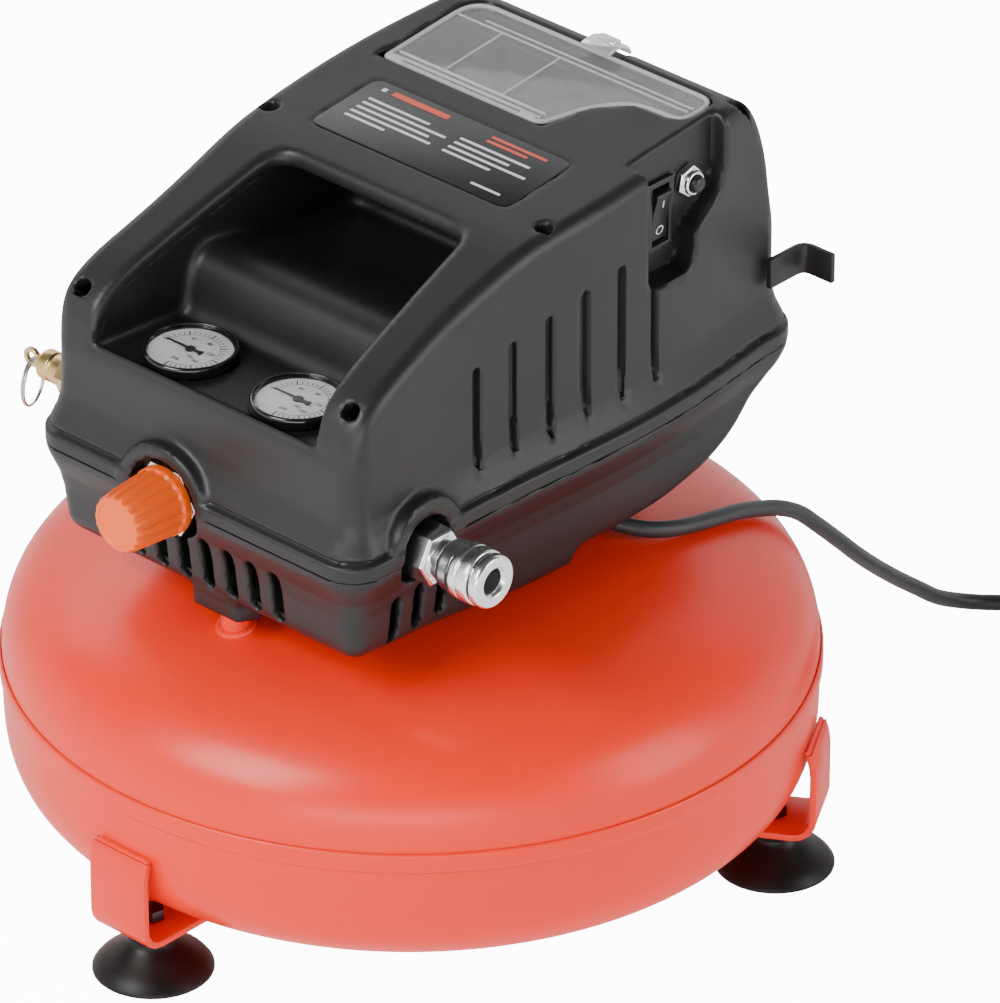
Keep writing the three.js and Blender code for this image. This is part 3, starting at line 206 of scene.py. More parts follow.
def piece(name, part, finish, body="compressor", replaces=(), bevel=0.0, segments=2, angle=34, flat=False):
    """A mesh object of the object's own, riding on a CAD body."""
    mesh = bpy.data.meshes.new(name)
    mesh.from_pydata(place(part[0]).tolist(), [], part[1])
    bm = bmesh.new()
    bm.from_mesh(mesh)
    bmesh.ops.remove_doubles(bm, verts=bm.verts, dist=2e-6)
    bmesh.ops.dissolve_degenerate(bm, dist=1e-6, edges=bm.edges)
    bmesh.ops.recalc_face_normals(bm, faces=bm.faces)
    if bevel:
        sharp = [e for e in bm.edges if len(e.link_faces) == 2 and e.calc_face_angle(0) > math.radians(angle)]
        bmesh.ops.bevel(
            bm, geom=sharp, offset=bevel / 1000, segments=segments, profile=0.5, affect="EDGES", clamp_overlap=True,
        )
        bmesh.ops.recalc_face_normals(bm, faces=bm.faces)
    bm.to_mesh(mesh)
    bm.free()
    return finished(name, mesh, finish, body, replaces, angle, flat)


def finished(name, mesh, finish, body="compressor", replaces=(), angle=34, flat=False):
    material, slot = finish
    mesh.materials.clear()
    mesh.materials.append(material)
    if not flat:
        mesh.shade_smooth()
        mesh.set_sharp_from_angle(angle=math.radians(angle))
    made = bpy.data.objects.new(name, mesh)
    bpy.context.scene.collection.objects.link(made)
    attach(made, body)
    if replaces:
        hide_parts(*replaces)
    return made


# %% [markdown]
# ## Finishes
# Four shared node groups give masks and heights only: moulded grain, the paint's orange peel, smudges
# that change how blurred a metal's reflection is, and fine brushing. Each finish is one Principled
# shader fed by them. Painted maps would do too, but these hold at any distance.

# %% Node groups
def group(name, sockets):
    tree = bpy.data.node_groups.new(name, "ShaderNodeTree")
    for label, way, kind, value in sockets:
        socket = tree.interface.new_socket(name=label, in_out=way, socket_type="NodeSocket" + kind)
        if value is not None:
            socket.default_value = value
    given = tree.nodes.new("NodeGroupInput")
    taken = tree.nodes.new("NodeGroupOutput")
    coordinates = tree.nodes.new("ShaderNodeTexCoord")
    return tree, given, taken, coordinates


def noise_group(name, default_scale, detail, stretch=(1, 1, 1), rough=0.5):
    """Height is noise in object space about zero; Mask is the same stretched to 0..1."""
    tree, given, taken, coordinates = group(name, [
        ("Scale", "INPUT", "Float", default_scale), ("Height", "OUTPUT", "Float", None),
        ("Mask", "OUTPUT", "Float", None),
    ])
    mapping = tree.nodes.new("ShaderNodeMapping")
    mapping.inputs["Scale"].default_value = stretch
    noise = tree.nodes.new("ShaderNodeTexNoise")
    noise.inputs["Detail"].default_value = detail
    noise.inputs["Roughness"].default_value = rough
    spread = tree.nodes.new("ShaderNodeMapRange")
    spread.inputs["From Min"].default_value = 0.32
    spread.inputs["From Max"].default_value = 0.68
    link = tree.links.new
    link(coordinates.outputs["Object"], mapping.inputs["Vector"])
    link(mapping.outputs["Vector"], noise.inputs["Vector"])
    link(given.outputs["Scale"], noise.inputs["Scale"])
    link(noise.outputs["Fac"], taken.inputs["Height"])
    link(noise.outputs["Fac"], spread.inputs["Value"])
    link(spread.outputs["Result"], taken.inputs["Mask"])
    return tree


GRAIN = noise_group("mould_grain", 1500, 2)
PEEL = noise_group("orange_peel", 190, 1)
SMUDGE = noise_group("smudges", 60, 4, rough=0.6)
BRUSHED = noise_group("brushing", 900, 2, (1, 1, 0.06))


def finish(name, color, rough, slot, metal=0.0, bump=(GRAIN, 0.0, 0.0), smudge=0.0, coat=0.0, vary=0.0, **extra):
    """bump is (group, height in mm, scale or 0); smudge is how far the roughness wanders."""
    material = bpy.data.materials.new(name)
    material.use_nodes = True
    nodes, link = material.node_tree.nodes, material.node_tree.links.new
    shader = nodes["Principled BSDF"]
    shader.inputs["Base Color"].default_value = (*color, 1)
    shader.inputs["Roughness"].default_value = rough
    shader.inputs["Metallic"].default_value = metal
    shader.inputs["Coat Weight"].default_value = coat
    shader.inputs["Coat Roughness"].default_value = 0.12
    for key, value in extra.items():
        shader.inputs[key.replace("_", " ")].default_value = value
    marks = nodes.new("ShaderNodeGroup")
    marks.node_tree = SMUDGE
    wander = nodes.new("ShaderNodeMapRange")
    wander.inputs["To Min"].default_value = max(0.02, rough - smudge / 2)
    wander.inputs["To Max"].default_value = rough + smudge / 2
    link(marks.outputs["Mask"], wander.inputs["Value"])
    link(wander.outputs["Result"], shader.inputs["Roughness"])
    if vary:
        tint = nodes.new("ShaderNodeMix")
        tint.data_type = "RGBA"
        tint.inputs["A"].default_value = (*[c * (1 - vary) for c in color], 1)
        tint.inputs["B"].default_value = (*[min(1, c * (1 + vary)) for c in color], 1)
        link(marks.outputs["Mask"], tint.inputs["Factor"])
        link(tint.outputs["Result"], shader.inputs["Base Color"])
    tree, height, scale = bump
    if height:
        texture = nodes.new("ShaderNodeGroup")
        texture.node_tree = tree
        if scale:
            texture.inputs["Scale"].default_value = scale
        relief = nodes.new("ShaderNodeBump")
        relief.inputs["Distance"].default_value = height / 1000
        relief.inputs["Strength"].default_value = 1
        link(texture.outputs["Height"], relief.inputs["Height"])
        link(relief.outputs["Normal"], shader.inputs["Normal"])
    return material, slot


# %% Finishes
PAINT = finish(
    "tank_paint", (0.9, 0.02, 0.0), 0.34, "tank_paint", bump=(PEEL, 0.04, 0), coat=0.06, smudge=0.05,
    Specular_IOR_Level=0.4,
)
SHROUD = finish(
    "shroud_plastic", (0.0125, 0.0125, 0.013), 0.42, "shroud_plastic", bump=(GRAIN, 0.03, 0), smudge=0.05,
    Specular_IOR_Level=0.4,
)
TUB = finish(
    "tub_plastic", (0.008, 0.008, 0.0083), 0.44, "black_plastic", bump=(GRAIN, 0.03, 0), smudge=0.05,
    Specular_IOR_Level=0.4,
)
BLACK = finish("black_plastic", (0.008, 0.008, 0.009), 0.4, "black_plastic", bump=(GRAIN, 0.02, 0), smudge=0.05)
GLOSS = finish("gloss_black", (0.006, 0.006, 0.007), 0.13, "gloss_black", smudge=0.04, coat=0.3)
LABEL = finish("label_film", (0.003, 0.003, 0.0035), 0.36, "gloss_black", smudge=0.04)
LIGHT_INK = finish("light_ink", (0.72, 0.72, 0.72), 0.5, "dial_face")
RED_INK = finish("red_ink", (0.75, 0.09, 0.05), 0.5, "knob_plastic")
DARK_INK = finish("dark_ink", (0.02, 0.02, 0.022), 0.5, "gloss_black")
DIAL = finish("dial_face", (0.78, 0.79, 0.78), 0.38, "dial_face", smudge=0.05)
KNOB = finish("knob_plastic", (0.9, 0.105, 0.0), 0.42, "knob_plastic", bump=(GRAIN, 0.02, 0), smudge=0.06)
CHROME = finish("chrome", (0.9, 0.905, 0.91), 0.2, "chrome", metal=1, smudge=0.06)
BRASS = finish("brass", (0.8, 0.56, 0.25), 0.22, "brass", metal=1, smudge=0.12)
STEEL = finish("plain_steel", (0.58, 0.59, 0.6), 0.28, "plain_steel", metal=1, smudge=0.12, bump=(BRUSHED, 0.01, 0))
DARK_STEEL = finish("dark_steel", (0.09, 0.09, 0.095), 0.45, "dark_steel", metal=1, smudge=0.15)
IRON = finish("cast_iron", (0.06, 0.06, 0.063), 0.6, "cast_iron", metal=0.6, smudge=0.15, bump=(GRAIN, 0.15, 700))
ALUMINIUM = finish(
    "cast_aluminium", (0.52, 0.53, 0.55), 0.42, "cast_aluminium", metal=1, smudge=0.15, bump=(GRAIN, 0.1, 600),
)
RUBBER = finish(
    "rubber", (0.004, 0.003, 0.0028), 0.42, "rubber", smudge=0.1, bump=(GRAIN, 0.03, 0), Specular_IOR_Level=0.3,
)
CORD = finish("cord_jacket", (0.022, 0.023, 0.025), 0.48, "cord_jacket", smudge=0.08, bump=(GRAIN, 0.03, 0))
LENS_GLASS = finish("gauge_glass", (1, 1, 1), 0.03, "gauge_glass", Transmission_Weight=1.0, IOR=1.12)
SMOKY = finish("smoky_clear", (0.7, 0.71, 0.72), 0.1, "smoky_clear", Transmission_Weight=0.6, IOR=1.45, Alpha=0.32)
# The rim, beads, eyes and ridges use the lid's smoky clear plastic made lighter and more opaque than the sheet. This is
# partly the plastic and partly a painted highlight along the lid's edges.
RIM_CLEAR_AND_HIGHLIGHT = finish(
    "rim_clear_painted_highlight", (0.86, 0.87, 0.88), 0.15, "smoky_clear", Transmission_Weight=0.3, IOR=1.45, Alpha=0.5,
)
CLIP = finish("clip_clear", (0.8, 0.81, 0.82), 0.12, "smoky_clear", metal=0.6, Alpha=0.9)
TRAY = finish("tray_plastic", (0.02, 0.02, 0.021), 0.5, "black_plastic")
print("finishes", len(bpy.data.materials))

# %% [markdown]
# ## Cord
# A round seven millimetre lead leaves the boot under the shroud, lies over the tank's shoulder, runs
# down behind it and ends in a tied coil of two layers with its plug. It could be simulated, but a drawn
# path has the same length every time.

# %% Cord
CORD_RADIUS, CORD_EXIT = 3.5, (57, 45, 153)
LEAD = [
    (57, 45, 153), (60, 45.2, 152.9), (63, 45.6, 152.6), (68.9, 48.3, 151), (75.2, 53.1, 148.9), (80.2, 59.4, 147),
    (83.6, 67.5, 145.2), (85, 76.5, 143.3), (85.5, 85.5, 141.5), (85.6, 94.5, 139.7), (84.9, 108.5, 136.3),
    (84.3, 122.5, 131.4), (84.2, 135.5, 126), (84.3, 147.5, 118.6), (84.2, 159.5, 107.6), (82.3, 175.5, 92.4),
    (78.3, 193.4, 75.6), (73, 212.3, 59.2), (67.2, 232.2, 42.8), (63, 251, 28), (60.8, 267, 15.6),
    (61.4, 279.8, 8.4), (66.5, 289.6, 5.2), (74, 296.6, 4.9), (82, 303.2, 4.9), (90, 309.7, 4.9), (98, 316.3, 4.9),
]
COIL = (140, 292)
COIL_OUT, COIL_STEP, COIL_TURNS, COIL_START, COIL_CLIMB = 45.6, 7.05, 3, 130, 130
LAYER_Z = (4.95, 12.1)


def through(points, step=2.0):
    """A smooth line through the points, sampled evenly."""
    p = np.array(points, float)
    p = np.concatenate([[2 * p[0] - p[1]], p, [2 * p[-1] - p[-2]]])
    out = []
    for a, b, c, d in zip(p, p[1:], p[2:], p[3:]):
        for t in np.arange(0, 1, step / max(np.linalg.norm(c - b), step)):
            square, cube = 2 * a - 5 * b + 4 * c - d, 3 * b - a - 3 * c + d
            out.append(0.5 * (2 * b + (c - a) * t + square * t**2 + cube * t**3))
    return np.array(out + [p[-2]])


def coil_line():
    inner = COIL_OUT - COIL_STEP * COIL_TURNS
    layer = 360 * COIL_TURNS
    total = 2 * layer + COIL_CLIMB
    travel = np.arange(0, total + 0.1, 4)
    radius = np.interp(travel, [0, layer, layer + COIL_CLIMB, total], [COIL_OUT, inner, inner, COIL_OUT])
    z = np.interp(travel, [layer - 15, layer + COIL_CLIMB + 15], LAYER_Z)
    angle = np.radians(COIL_START - travel)
    return np.stack([COIL[0] + radius * np.cos(angle), COIL[1] + radius * np.sin(angle), z], 1)


PLUG_X, PLUG_Y, PLUG_Z = COIL[0] + COIL_OUT, 265, LAYER_Z[1]
turns = coil_line()
leave = [(PLUG_X, y, LAYER_Z[1] - drop) for y, drop in ((286, 0.4), (278, 2.4), (270, 4.6), (PLUG_Y, 6))]
cord_path = np.concatenate([
    through(LEAD + [tuple(turns[0])])[:-1], turns[:-1], through([tuple(turns[-1]), *leave]),
])
cord = piece("mains_cord", swept(cord_path, CORD_RADIUS, 14), CORD, replaces=("power_cord", "cord_coil"), angle=60)

# %% [markdown]
# ## Signed distances and skins
# The two shells and the console flow into one another with soft moulded edges, which booleans and bevels
# do badly. So each is written as a distance field, sampled on a grid and skinned with surface nets, and
# the skin is then pushed towards the field's exact zero.

# %% Distance fields
def polygon_distance(outline, u, v):
    u, v = np.broadcast_arrays(np.asarray(u, float), np.asarray(v, float))
    best, inside = np.full(u.shape, 1e12), np.zeros(u.shape, bool)
    for (ax, ay), (bx, by) in zip(outline, outline[1:] + outline[:1]):
        ex, ey = bx - ax, by - ay
        long = ex * ex + ey * ey
        if long < 1e-12:
            continue
        t = np.clip(((u - ax) * ex + (v - ay) * ey) / long, 0, 1)
        best = np.minimum(best, (u - ax - t * ex) ** 2 + (v - ay - t * ey) ** 2)
        if ey:
            inside ^= ((ay > v) != (by > v)) & (u < (v - ay) * ex / ey + ax)
    return np.where(inside, -1, 1) * np.sqrt(best)


def both(a, b, r=0.0):
    """What lies in a and b, the edge between them rounded."""
    if r <= 0:
        return np.maximum(a, b)
    return np.minimum(-r, np.maximum(a, b)) + np.hypot(np.maximum(r + a, 0), np.maximum(r + b, 0))


def either(a, b, r=0.0):
    return -both(-a, -b, r)


def less(a, b, r=0.0):
    return both(a, -b, r)


def highest(fields):
    return reduce(np.maximum, fields)


def lowest(fields):
    return reduce(np.minimum, fields)


def slab(u, low, high):
    return np.maximum(low - u, u - high)


def round_bar(u, v, cu, cv, r):
    return np.hypot(u - cu, v - cv) - r


def skin(field, xs, ys, zs):
    """Surface nets over the grid, then two steps towards the field's exact zero."""
    values = np.broadcast_to(
        field(xs[:, None, None], ys[None, :, None], zs[None, None, :]), (len(xs), len(ys), len(zs)),
    )
    inside = values < 0
    total = np.zeros([n - 1 for n in values.shape] + [3])
    count = np.zeros([n - 1 for n in values.shape])
    grid = (xs, ys, zs)
    cut = lambda a, axis, start: np.take(a, range(start, a.shape[axis] - 1 + start), axis=axis)
    for axis in range(3):
        low, high = cut(values, axis, 0), cut(values, axis, 1)
        cross = (low < 0) != (high < 0)
        share = np.where(cross, low / np.where(cross, low - high, 1), 0)
        for db in (0, 1):
            for dc in (0, 1):
                b, c = [k for k in range(3) if k != axis]
                part_cross = cut(cut(cross, b, db), c, dc)
                part_share = cut(cut(share, b, db), c, dc)
                count += part_cross
                for k, d in ((axis, part_share), (b, db), (c, dc)):
                    total[..., k] += part_cross * d
    active = count > 0
    index = np.full(active.shape, -1)
    index[active] = np.arange(active.sum())
    cells = np.argwhere(active)
    offset = total[active] / count[active][:, None]
    steps = np.stack([np.diff(grid[k])[cells[:, k]] for k in range(3)], 1)
    points = np.stack([grid[k][cells[:, k]] for k in range(3)], 1) + offset * steps
    faces = []
    for axis in range(3):
        b, c = (axis + 1) % 3, (axis + 2) % 3
        low, high = cut(inside, axis, 0), cut(inside, axis, 1)
        for forward, where in ((True, low & ~high), (False, ~low & high)):
            at = np.argwhere(where)
            for k in (b, c):
                at = at[(at[:, k] > 0) & (at[:, k] < values.shape[k] - 1)]
            eb, ec = np.eye(3, dtype=int)[b], np.eye(3, dtype=int)[c]
            quad = [at, at - eb, at - eb - ec, at - ec]
            corners = np.stack([index[tuple(q.T)] for q in quad], 1)
            faces.append(corners if forward else corners[:, ::-1])
    faces = np.concatenate(faces)
    reach = 0.45 * steps.min(1)[:, None]
    for _ in range(2):
        x, y, z = points.T
        here = field(x, y, z)
        slope = np.stack([
            field(x + e, y + f, z + g) - field(x - e, y - f, z - g)
            for e, f, g in ((0.1, 0, 0), (0, 0.1, 0), (0, 0, 0.1))
        ], 1) / 0.2
        long = np.maximum((slope**2).sum(1), 0.3)
        shift = -here[:, None] * slope / long[:, None]
        size = np.linalg.norm(shift, axis=1)[:, None]
        points = points + shift * np.minimum(1, reach / np.maximum(size, 1e-9))
    return points, faces


def skinned(name, field, xs, ys, zs, finish, replaces, angle=50):
    points, faces = skin(field, xs, ys, zs)
    mesh = bpy.data.meshes.new(name)
    mesh.vertices.add(len(points))
    mesh.vertices.foreach_set("co", place(points).ravel())
    mesh.loops.add(faces.size)
    mesh.loops.foreach_set("vertex_index", faces.ravel())
    mesh.polygons.add(len(faces))
    mesh.polygons.foreach_set("loop_start", np.arange(0, faces.size, 4))
    mesh.update(calc_edges=True)
    mesh.validate()
    print(name, len(points), "points,", 2 * len(faces), "triangles")
    return finished(name, mesh, finish, replaces=replaces, angle=angle)


# %% Shroud outlines
FRONT, FRONT_HALF, FRONT_CORNER, REAR, REAR_HALF, REAR_CORNER = -129.5, 92, 17, 151, 83.5, 20
SIDES = [(-112.5, 92), (-92, 91), (-67, 87.5), (-15, 90), (30, 93), (66, 92.2), (95, 89), (131, 83.5)]
PARTING, SHELL_WALL = 203.5, 3.0
INSET_UPPER = ([203.5, 209.6, 210.4, 211, 212, 212.8, 220, 226, 236], [0, 0, 0.6, 3.0, 3.1, 1.9, 5.2, 6.9, 7.4])
INSET_LOWER = ([140, 158, 170, 182, 190, 196, 200, 203.35], [14, 10.5, 8.6, 7.2, 5.2, 2.4, 0.8, 0.1])


def belt_outline():
    y = np.linspace(FRONT + FRONT_CORNER, REAR - REAR_CORNER, 50)
    half = np.interp(y, *zip(*SIDES))
    for _ in range(2):
        half = np.convolve(np.pad(half, 3, mode="edge"), np.ones(7) / 7, "valid")
    arc = lambda cx, cy, r, start: [
        (cx + r * math.cos(math.radians(start + t)), cy + r * math.sin(math.radians(start + t)))
        for t in np.linspace(0, 90, 10)
    ]
    right = arc(half[0] - FRONT_CORNER, FRONT + FRONT_CORNER, FRONT_CORNER, -90)[:-1]
    right += list(zip(half, y))
    right += arc(half[-1] - REAR_CORNER, REAR - REAR_CORNER, REAR_CORNER, 0)[1:]
    return [(float(x), float(t)) for x, t in right + [(-x, t) for x, t in right[::-1]]]


BELT = belt_outline()
UPPER_SIDE = soft(
    [(-135.5, 190), (-135.5, 240), (-124, 254), (-121, 264), (-113, 275), (-100, 282.5), (-60, 297), (-20, 309.6),
     (0, 312.5), (112, 323), (122, 319.5), (129, 309), (135, 291), (139, 268), (157, 235), (157, 190)],
    [0, 5, 5, 7, 8, 12, 25, 12, 14, 9, 7, 8, 10, 14, 8, 0], 4,
)
LOWER_SIDE = soft(
    [(-135.5, 161.5), (-112, 160.5), (-45, 150.5), (-20, 147.6), (14, 147.6), (17, 155.5), (66, 155.5),
     (101, 159.7), (118, 168.5), (127, 180), (157, 200), (157, 210), (-135.5, 210)],
    [0, 10, 20, 6, 2, 2, 8, 10, 9, 9, 0, 0, 0], 3,
)
CONSOLE_SIDE = soft(
    [(-142, 251.5), (-75.3, 251.5), (-71.5, 255.5), (-69.5, 268), (-66.5, 275), (-61, 278.6), (-53, 279), (-12, 268),
     (30, 266), (30, 365), (-142, 365)],
    [0, 1.5, 3, 5, 4, 4, 8, 14, 0, 0, 0], 3,
)
TUB_PLAN = soft([(-62, -118.2), (62, -118.2), (52, -20), (52, 22), (-52, 22), (-52, -20)], [0, 0, 8, 10, 10, 8], 4)
MOUTH = soft([(-62, -118.2), (62, -118.2), (52, -20), (-52, -20)], [0, 0, 11, 11], 5)
BROW = soft([(-63.2, -142), (63.2, -142), (52, -20), (-52, -20)], [0, 0, 11, 11], 5)
LID_EDGE = soft(
    [(-66, 54), (22, 54), (30, 76), (42, 89), (68, 90), (68, 111), (-66, 111)], [3, 6, 7, 8, 8, 8, 14], 5,
)
POCKET = soft(
    [(52, 365), (52, 266), (56, 262), (78, 262), (82, 268), (82, 278), (92, 284), (100, 291), (103, 300), (103, 365)],
    [0, 3, 3, 3, 3, 3, 4, 4, 4, 0], 3,
)
DECK_TILT = math.atan((323 - 312.5) / 112)
DECK_Z = 312.5 + math.tan(DECK_TILT) * 54
SCREWS = [(s * x, y) for s in (-1, 1) for x, y in ((74.4, -113), (76, -2), (73.5, 117.5))]
KNOB_X, COUPLER_Y, RELIEF_Y, RELIEF_Z = -15.8, -85.5, -92, 212.5
KNOB_PORT, COUPLER_PORT, VALVE_PORT = 18.4, 15.2, 10.5
KNOB_COLLAR, COUPLER_COLLAR, SEAM_HALF, SEAM_ROUND = 24.8, 23, 0.15, 0.35
GAUGES = {"tank": -30, "outlet": 30}
GAUGE_Y = -96.8


def on_deck(y, z):
    """Distance along the deck from y = 54, and height above its skin."""
    c, s = math.cos(DECK_TILT), math.sin(DECK_TILT)
    return (y - 54) * c + (z - DECK_Z) * s + 54, -(y - 54) * s + (z - DECK_Z) * c


def off_deck(part):
    """The other way: a part drawn with z = 0 on the deck's skin, put in place."""
    p = np.asarray(part[0], float)
    c, s = math.cos(DECK_TILT), math.sin(DECK_TILT)
    y, z = p[:, 1] - 54, p[:, 2]
    return np.stack([p[:, 0], 54 + y * c - z * s, DECK_Z + y * s + z * c], 1), part[1]


def upper_body(x, y, z):
    walls = polygon_distance(BELT, x, y) + np.interp(z, *INSET_UPPER)
    return both(walls, polygon_distance(UPPER_SIDE, y, z), 6.5), walls


def ports(x, y, z):
    """The round openings for the knob, the coupler and the safety valve."""
    return lowest([
        np.maximum(round_bar(x, z, KNOB_X, PARTING, KNOB_PORT), y + 105),
        np.maximum(round_bar(y, z, COUPLER_Y, PARTING, COUPLER_PORT), 70 - x),
        np.maximum(round_bar(y, z, RELIEF_Y, RELIEF_Z, VALVE_PORT), x + 70),
    ])


# %% Upper shell
RIM_DEPTH = 8
BOSS_R, HOLE_R, HOLE_FLOOR = 5.9, 3.9, 228
RIB_FIRST, RIB_STEP, RIB_LOW, RIB_TOP, RIB_RISE = -47, 20.4, 219, 268, 3.6


def upper_field(x, y, z):
    outer, walls = upper_body(x, y, z)
    collar = np.minimum(
        np.maximum(round_bar(x, z, KNOB_X, PARTING, KNOB_COLLAR), slab(y, -133, -118)),
        np.maximum(round_bar(y, z, COUPLER_Y, PARTING, COUPLER_COLLAR), slab(x, 80.5, 95.5)),
    )
    collar = both(collar, polygon_distance(BELT, x, y), 1.2)
    boss = lowest([round_bar(x, y, a, b, BOSS_R) for a, b in SCREWS])
    pocket_wall = np.maximum(polygon_distance(POCKET, y, z) - 3.6, 69 - x)
    cavity = both(
        polygon_distance(BELT, x, y) + np.interp(z, [203.5, 206, 209.5, 226], [3, 3.8, 9.8, 12]),
        polygon_distance(UPPER_SIDE, y, z) + SHELL_WALL + 0.6, 8,
    )
    rim = np.maximum(polygon_distance(MOUTH, x, y) - 4.2, -(outer + RIM_DEPTH))
    d = less(outer, cavity)
    d = np.minimum(d, np.maximum(lowest([boss, pocket_wall, rim]), outer))
    d = either(d, collar, 2.4)
    mouth = np.minimum(
        np.maximum(polygon_distance(MOUTH, x, y), 235 - z), np.maximum(polygon_distance(BROW, x, y), 254.5 - z),
    )
    d = less(d, mouth, 3)
    along, high = on_deck(y, z)
    lid = np.maximum(polygon_distance(LID_EDGE, x, along) - 0.7, slab(high, -8, 12))
    relief = highest([slab(x, -68.5, 24.5), slab(along, 53, 59), slab(high, -8, 12)])
    d = less(d, np.minimum(lid, relief), 0.8)
    d = less(d, highest([slab(x, -5, 13), slab(along, 109, 141), slab(high, -8, 9)]), 1)
    d = less(d, np.maximum(polygon_distance(POCKET, y, z), 72.5 - x), 1.6)
    d = less(d, highest([slab(y, 63.2, 76.8), slab(z, 273.2, 302.8), slab(x, 60, 80)]))
    d = less(d, np.maximum(round_bar(y, z, 87, 297, 4.1), slab(x, 60, 80)))
    straight = lowest([round_bar(x, y, a, b, HOLE_R) for a, b in SCREWS if b > -50])
    d = less(d, np.maximum(straight, HOLE_FLOOR - z), 0.4)
    for a, b in SCREWS:
        if b < -50:
            u, v = (y - b) * 0.75 + (z - 273) * 0.66, (z - 273) * 0.75 - (y - b) * 0.66
            d = less(d, np.maximum(np.hypot(x - a, u) - 4, slab(v, -12, 12)), 0.4)
    groove = np.full(np.broadcast(x, y, z).shape, 1e3)
    for i in range(6):
        top = RIB_TOP + RIB_RISE * i
        half = 2.1 * np.clip((top + 1 - z) / 2.5, 0.3, 1) * np.clip((z - RIB_LOW + 1) / 9, 0.4, 1)
        bar = np.abs(y - RIB_FIRST - i * RIB_STEP) - half
        groove = np.minimum(groove, highest([bar, RIB_LOW - z + 0 * bar, z - top + 0 * bar]))
    d = less(d, np.maximum(groove, -(walls + 3.2)), 0.5)
    d = less(d, ports(x, y, z), 1.2)
    label = np.maximum(polygon_distance(LABEL_EDGE, x, along) - 0.3, slab(high, -0.5, 5))
    return less(both(d, PARTING + SEAM_HALF - z, SEAM_ROUND), label)


LABEL_EDGE = soft([(-55, -2), (55, -2), (55, 40), (-55, 40)], 6, 4)


def spaced(low, high, step, fine, centres, reach):
    """Grid lines from low to high, closer together near the centres."""
    lines = [low]
    while lines[-1] < high:
        near = min((abs(lines[-1] - c) for c in centres), default=1e9)
        lines.append(lines[-1] + (fine if near < reach else step))
    return np.array(lines)


across = spaced(-96.3, 96.3, 2.1, 1.1, [-74.8, 74.8], 6.5)
along_y = spaced(-134.1, 154, 2.05, 1.1, [-113, -2, 117.5], 6.5)
z_upper = np.concatenate([
    np.arange(202.35, 205.4, 0.45), np.arange(205.5, 216, 0.95), np.arange(216.8, 328, 1.85),
])
skinned("shroud_upper", upper_field, across, along_y, z_upper, SHROUD, ("upper_shell",))

# %% Lower shell and console
SLOT_X = [-50 + 13 * i for i in range(8)]
SLOT_Y = (-97, -82, -67)
LUG = (1, -104.5)


def lower_field(x, y, z):
    walls = polygon_distance(BELT, x, y) + np.interp(z, *INSET_LOWER)
    side = polygon_distance(LOWER_SIDE, y, z)
    outer = both(walls, side, 8)
    d = less(outer, walls + 3.6, 0.8)
    window = np.maximum(np.abs(x) - 31, slab(y, -46, 92))
    floor = highest([outer + 0.3, slab(z, 161, 164.5), slab(y, -113, 100), -window])
    pad = np.maximum(round_bar(x, y, *LUG, 17), slab(z, 152.5, 163.5))
    d = np.minimum(either(d, both(pad, walls + 1, 1), 3), floor)
    ends = np.maximum(np.abs(z - 178.5) - 9, 0)
    slots = lowest([np.hypot(x - a, ends) - 3 for a in SLOT_X])
    slots = np.maximum(slots, y + 107)
    ends = np.maximum(np.abs(z - 173.8) - 8, 0)
    sides = lowest([np.hypot(y - b, ends) - 3 for b in SLOT_Y])
    sides = np.maximum(sides, 60 - x)
    d = less(d, np.minimum(slots, sides), 0.8)
    return both(less(d, ports(x, y, z), 1.2), z - PARTING + SEAM_HALF, SEAM_ROUND)


across = spaced(-95.5, 95.5, 1.625, 0.9, [-85, 85], 7)
along_y = spaced(-133.5, 153, 1.9, 0.9, [-124], 8)
z_lower = np.concatenate([
    np.arange(144.5, 199, 1.7), np.arange(199.8, 202.2, 0.9), np.arange(202.45, 204.8, 0.45),
])
skinned("shroud_lower", lower_field, across, along_y, z_lower, SHROUD, ("lower_shell",))


def tub_field(x, y, z):
    space = both(polygon_distance(TUB_PLAN, x, y), polygon_distance(CONSOLE_SIDE, y, z), 4)
    outer, _ = upper_body(x, y, z)
    d = np.maximum(less(space - 3.4, space - 0.2), outer + np.interp(z, [254, 259], [3.4, 5]))
    d = np.maximum(d, z - 345)
    for x0 in GAUGES.values():
        d = less(d, np.maximum(round_bar(x, y, x0, GAUGE_Y, 19.3), z - 262))
    return d


skinned(
    "console", tub_field, np.arange(-68, 68.1, 1.6), np.arange(-130, 28, 1.6), np.arange(246, 326, 1.6), TUB,
    ("console_tub",),
)

# %% [markdown]
# ## Tank
# Two pressed dishes: the lower one's rim laps outside the upper one, with a fillet of weld along it.
# They are turned outlines, finer than the CAD part's, with the welded lug and saddle on the upper one.

# %% Tank
TANK_R, TANK_SHEET, SEAM = 170, 2.6, 85
CROWN, CROWN_P, BELLY, BELLY_P = 62.3, 2.8, 64, 4.8
LAP_LOW, LAP_HIGH, LAP_STEP = 81, 90, 1.3


def dish(radius, height, power, rings=44):
    angle = np.linspace(0, math.pi / 2, rings)
    return [(float(radius * math.sin(a) ** (2 / power)), float(height * math.cos(a) ** (2 / power))) for a in angle]


INNER_R = TANK_R - TANK_SHEET
outer_top = [(r, SEAM + h) for r, h in dish(TANK_R, CROWN, CROWN_P) if SEAM + h > LAP_HIGH - 4]
inner_top = [(r, SEAM + h) for r, h in dish(INNER_R, CROWN - TANK_SHEET, CROWN_P) if SEAM + h > LAP_HIGH - 4]
shell_top = outer_top + [(TANK_R, SEAM + 0.2), (INNER_R, SEAM + 0.2)] + inner_top[::-1]
lug = turned(soft([(0, 130), (6.4, 130), (6.4, 160.6), (0, 160.6)], [0, 0, 1, 0]), 40, centre=(*LUG, 0))
weld_line = [(LUG[0] + 7 * math.cos(a), LUG[1] + 7 * math.sin(a)) for a in np.linspace(0, 2 * math.pi, 40)]
crown_at = lambda x, y: SEAM + CROWN * (1 - (math.hypot(x, y) / TANK_R) ** CROWN_P) ** (1 / CROWN_P)
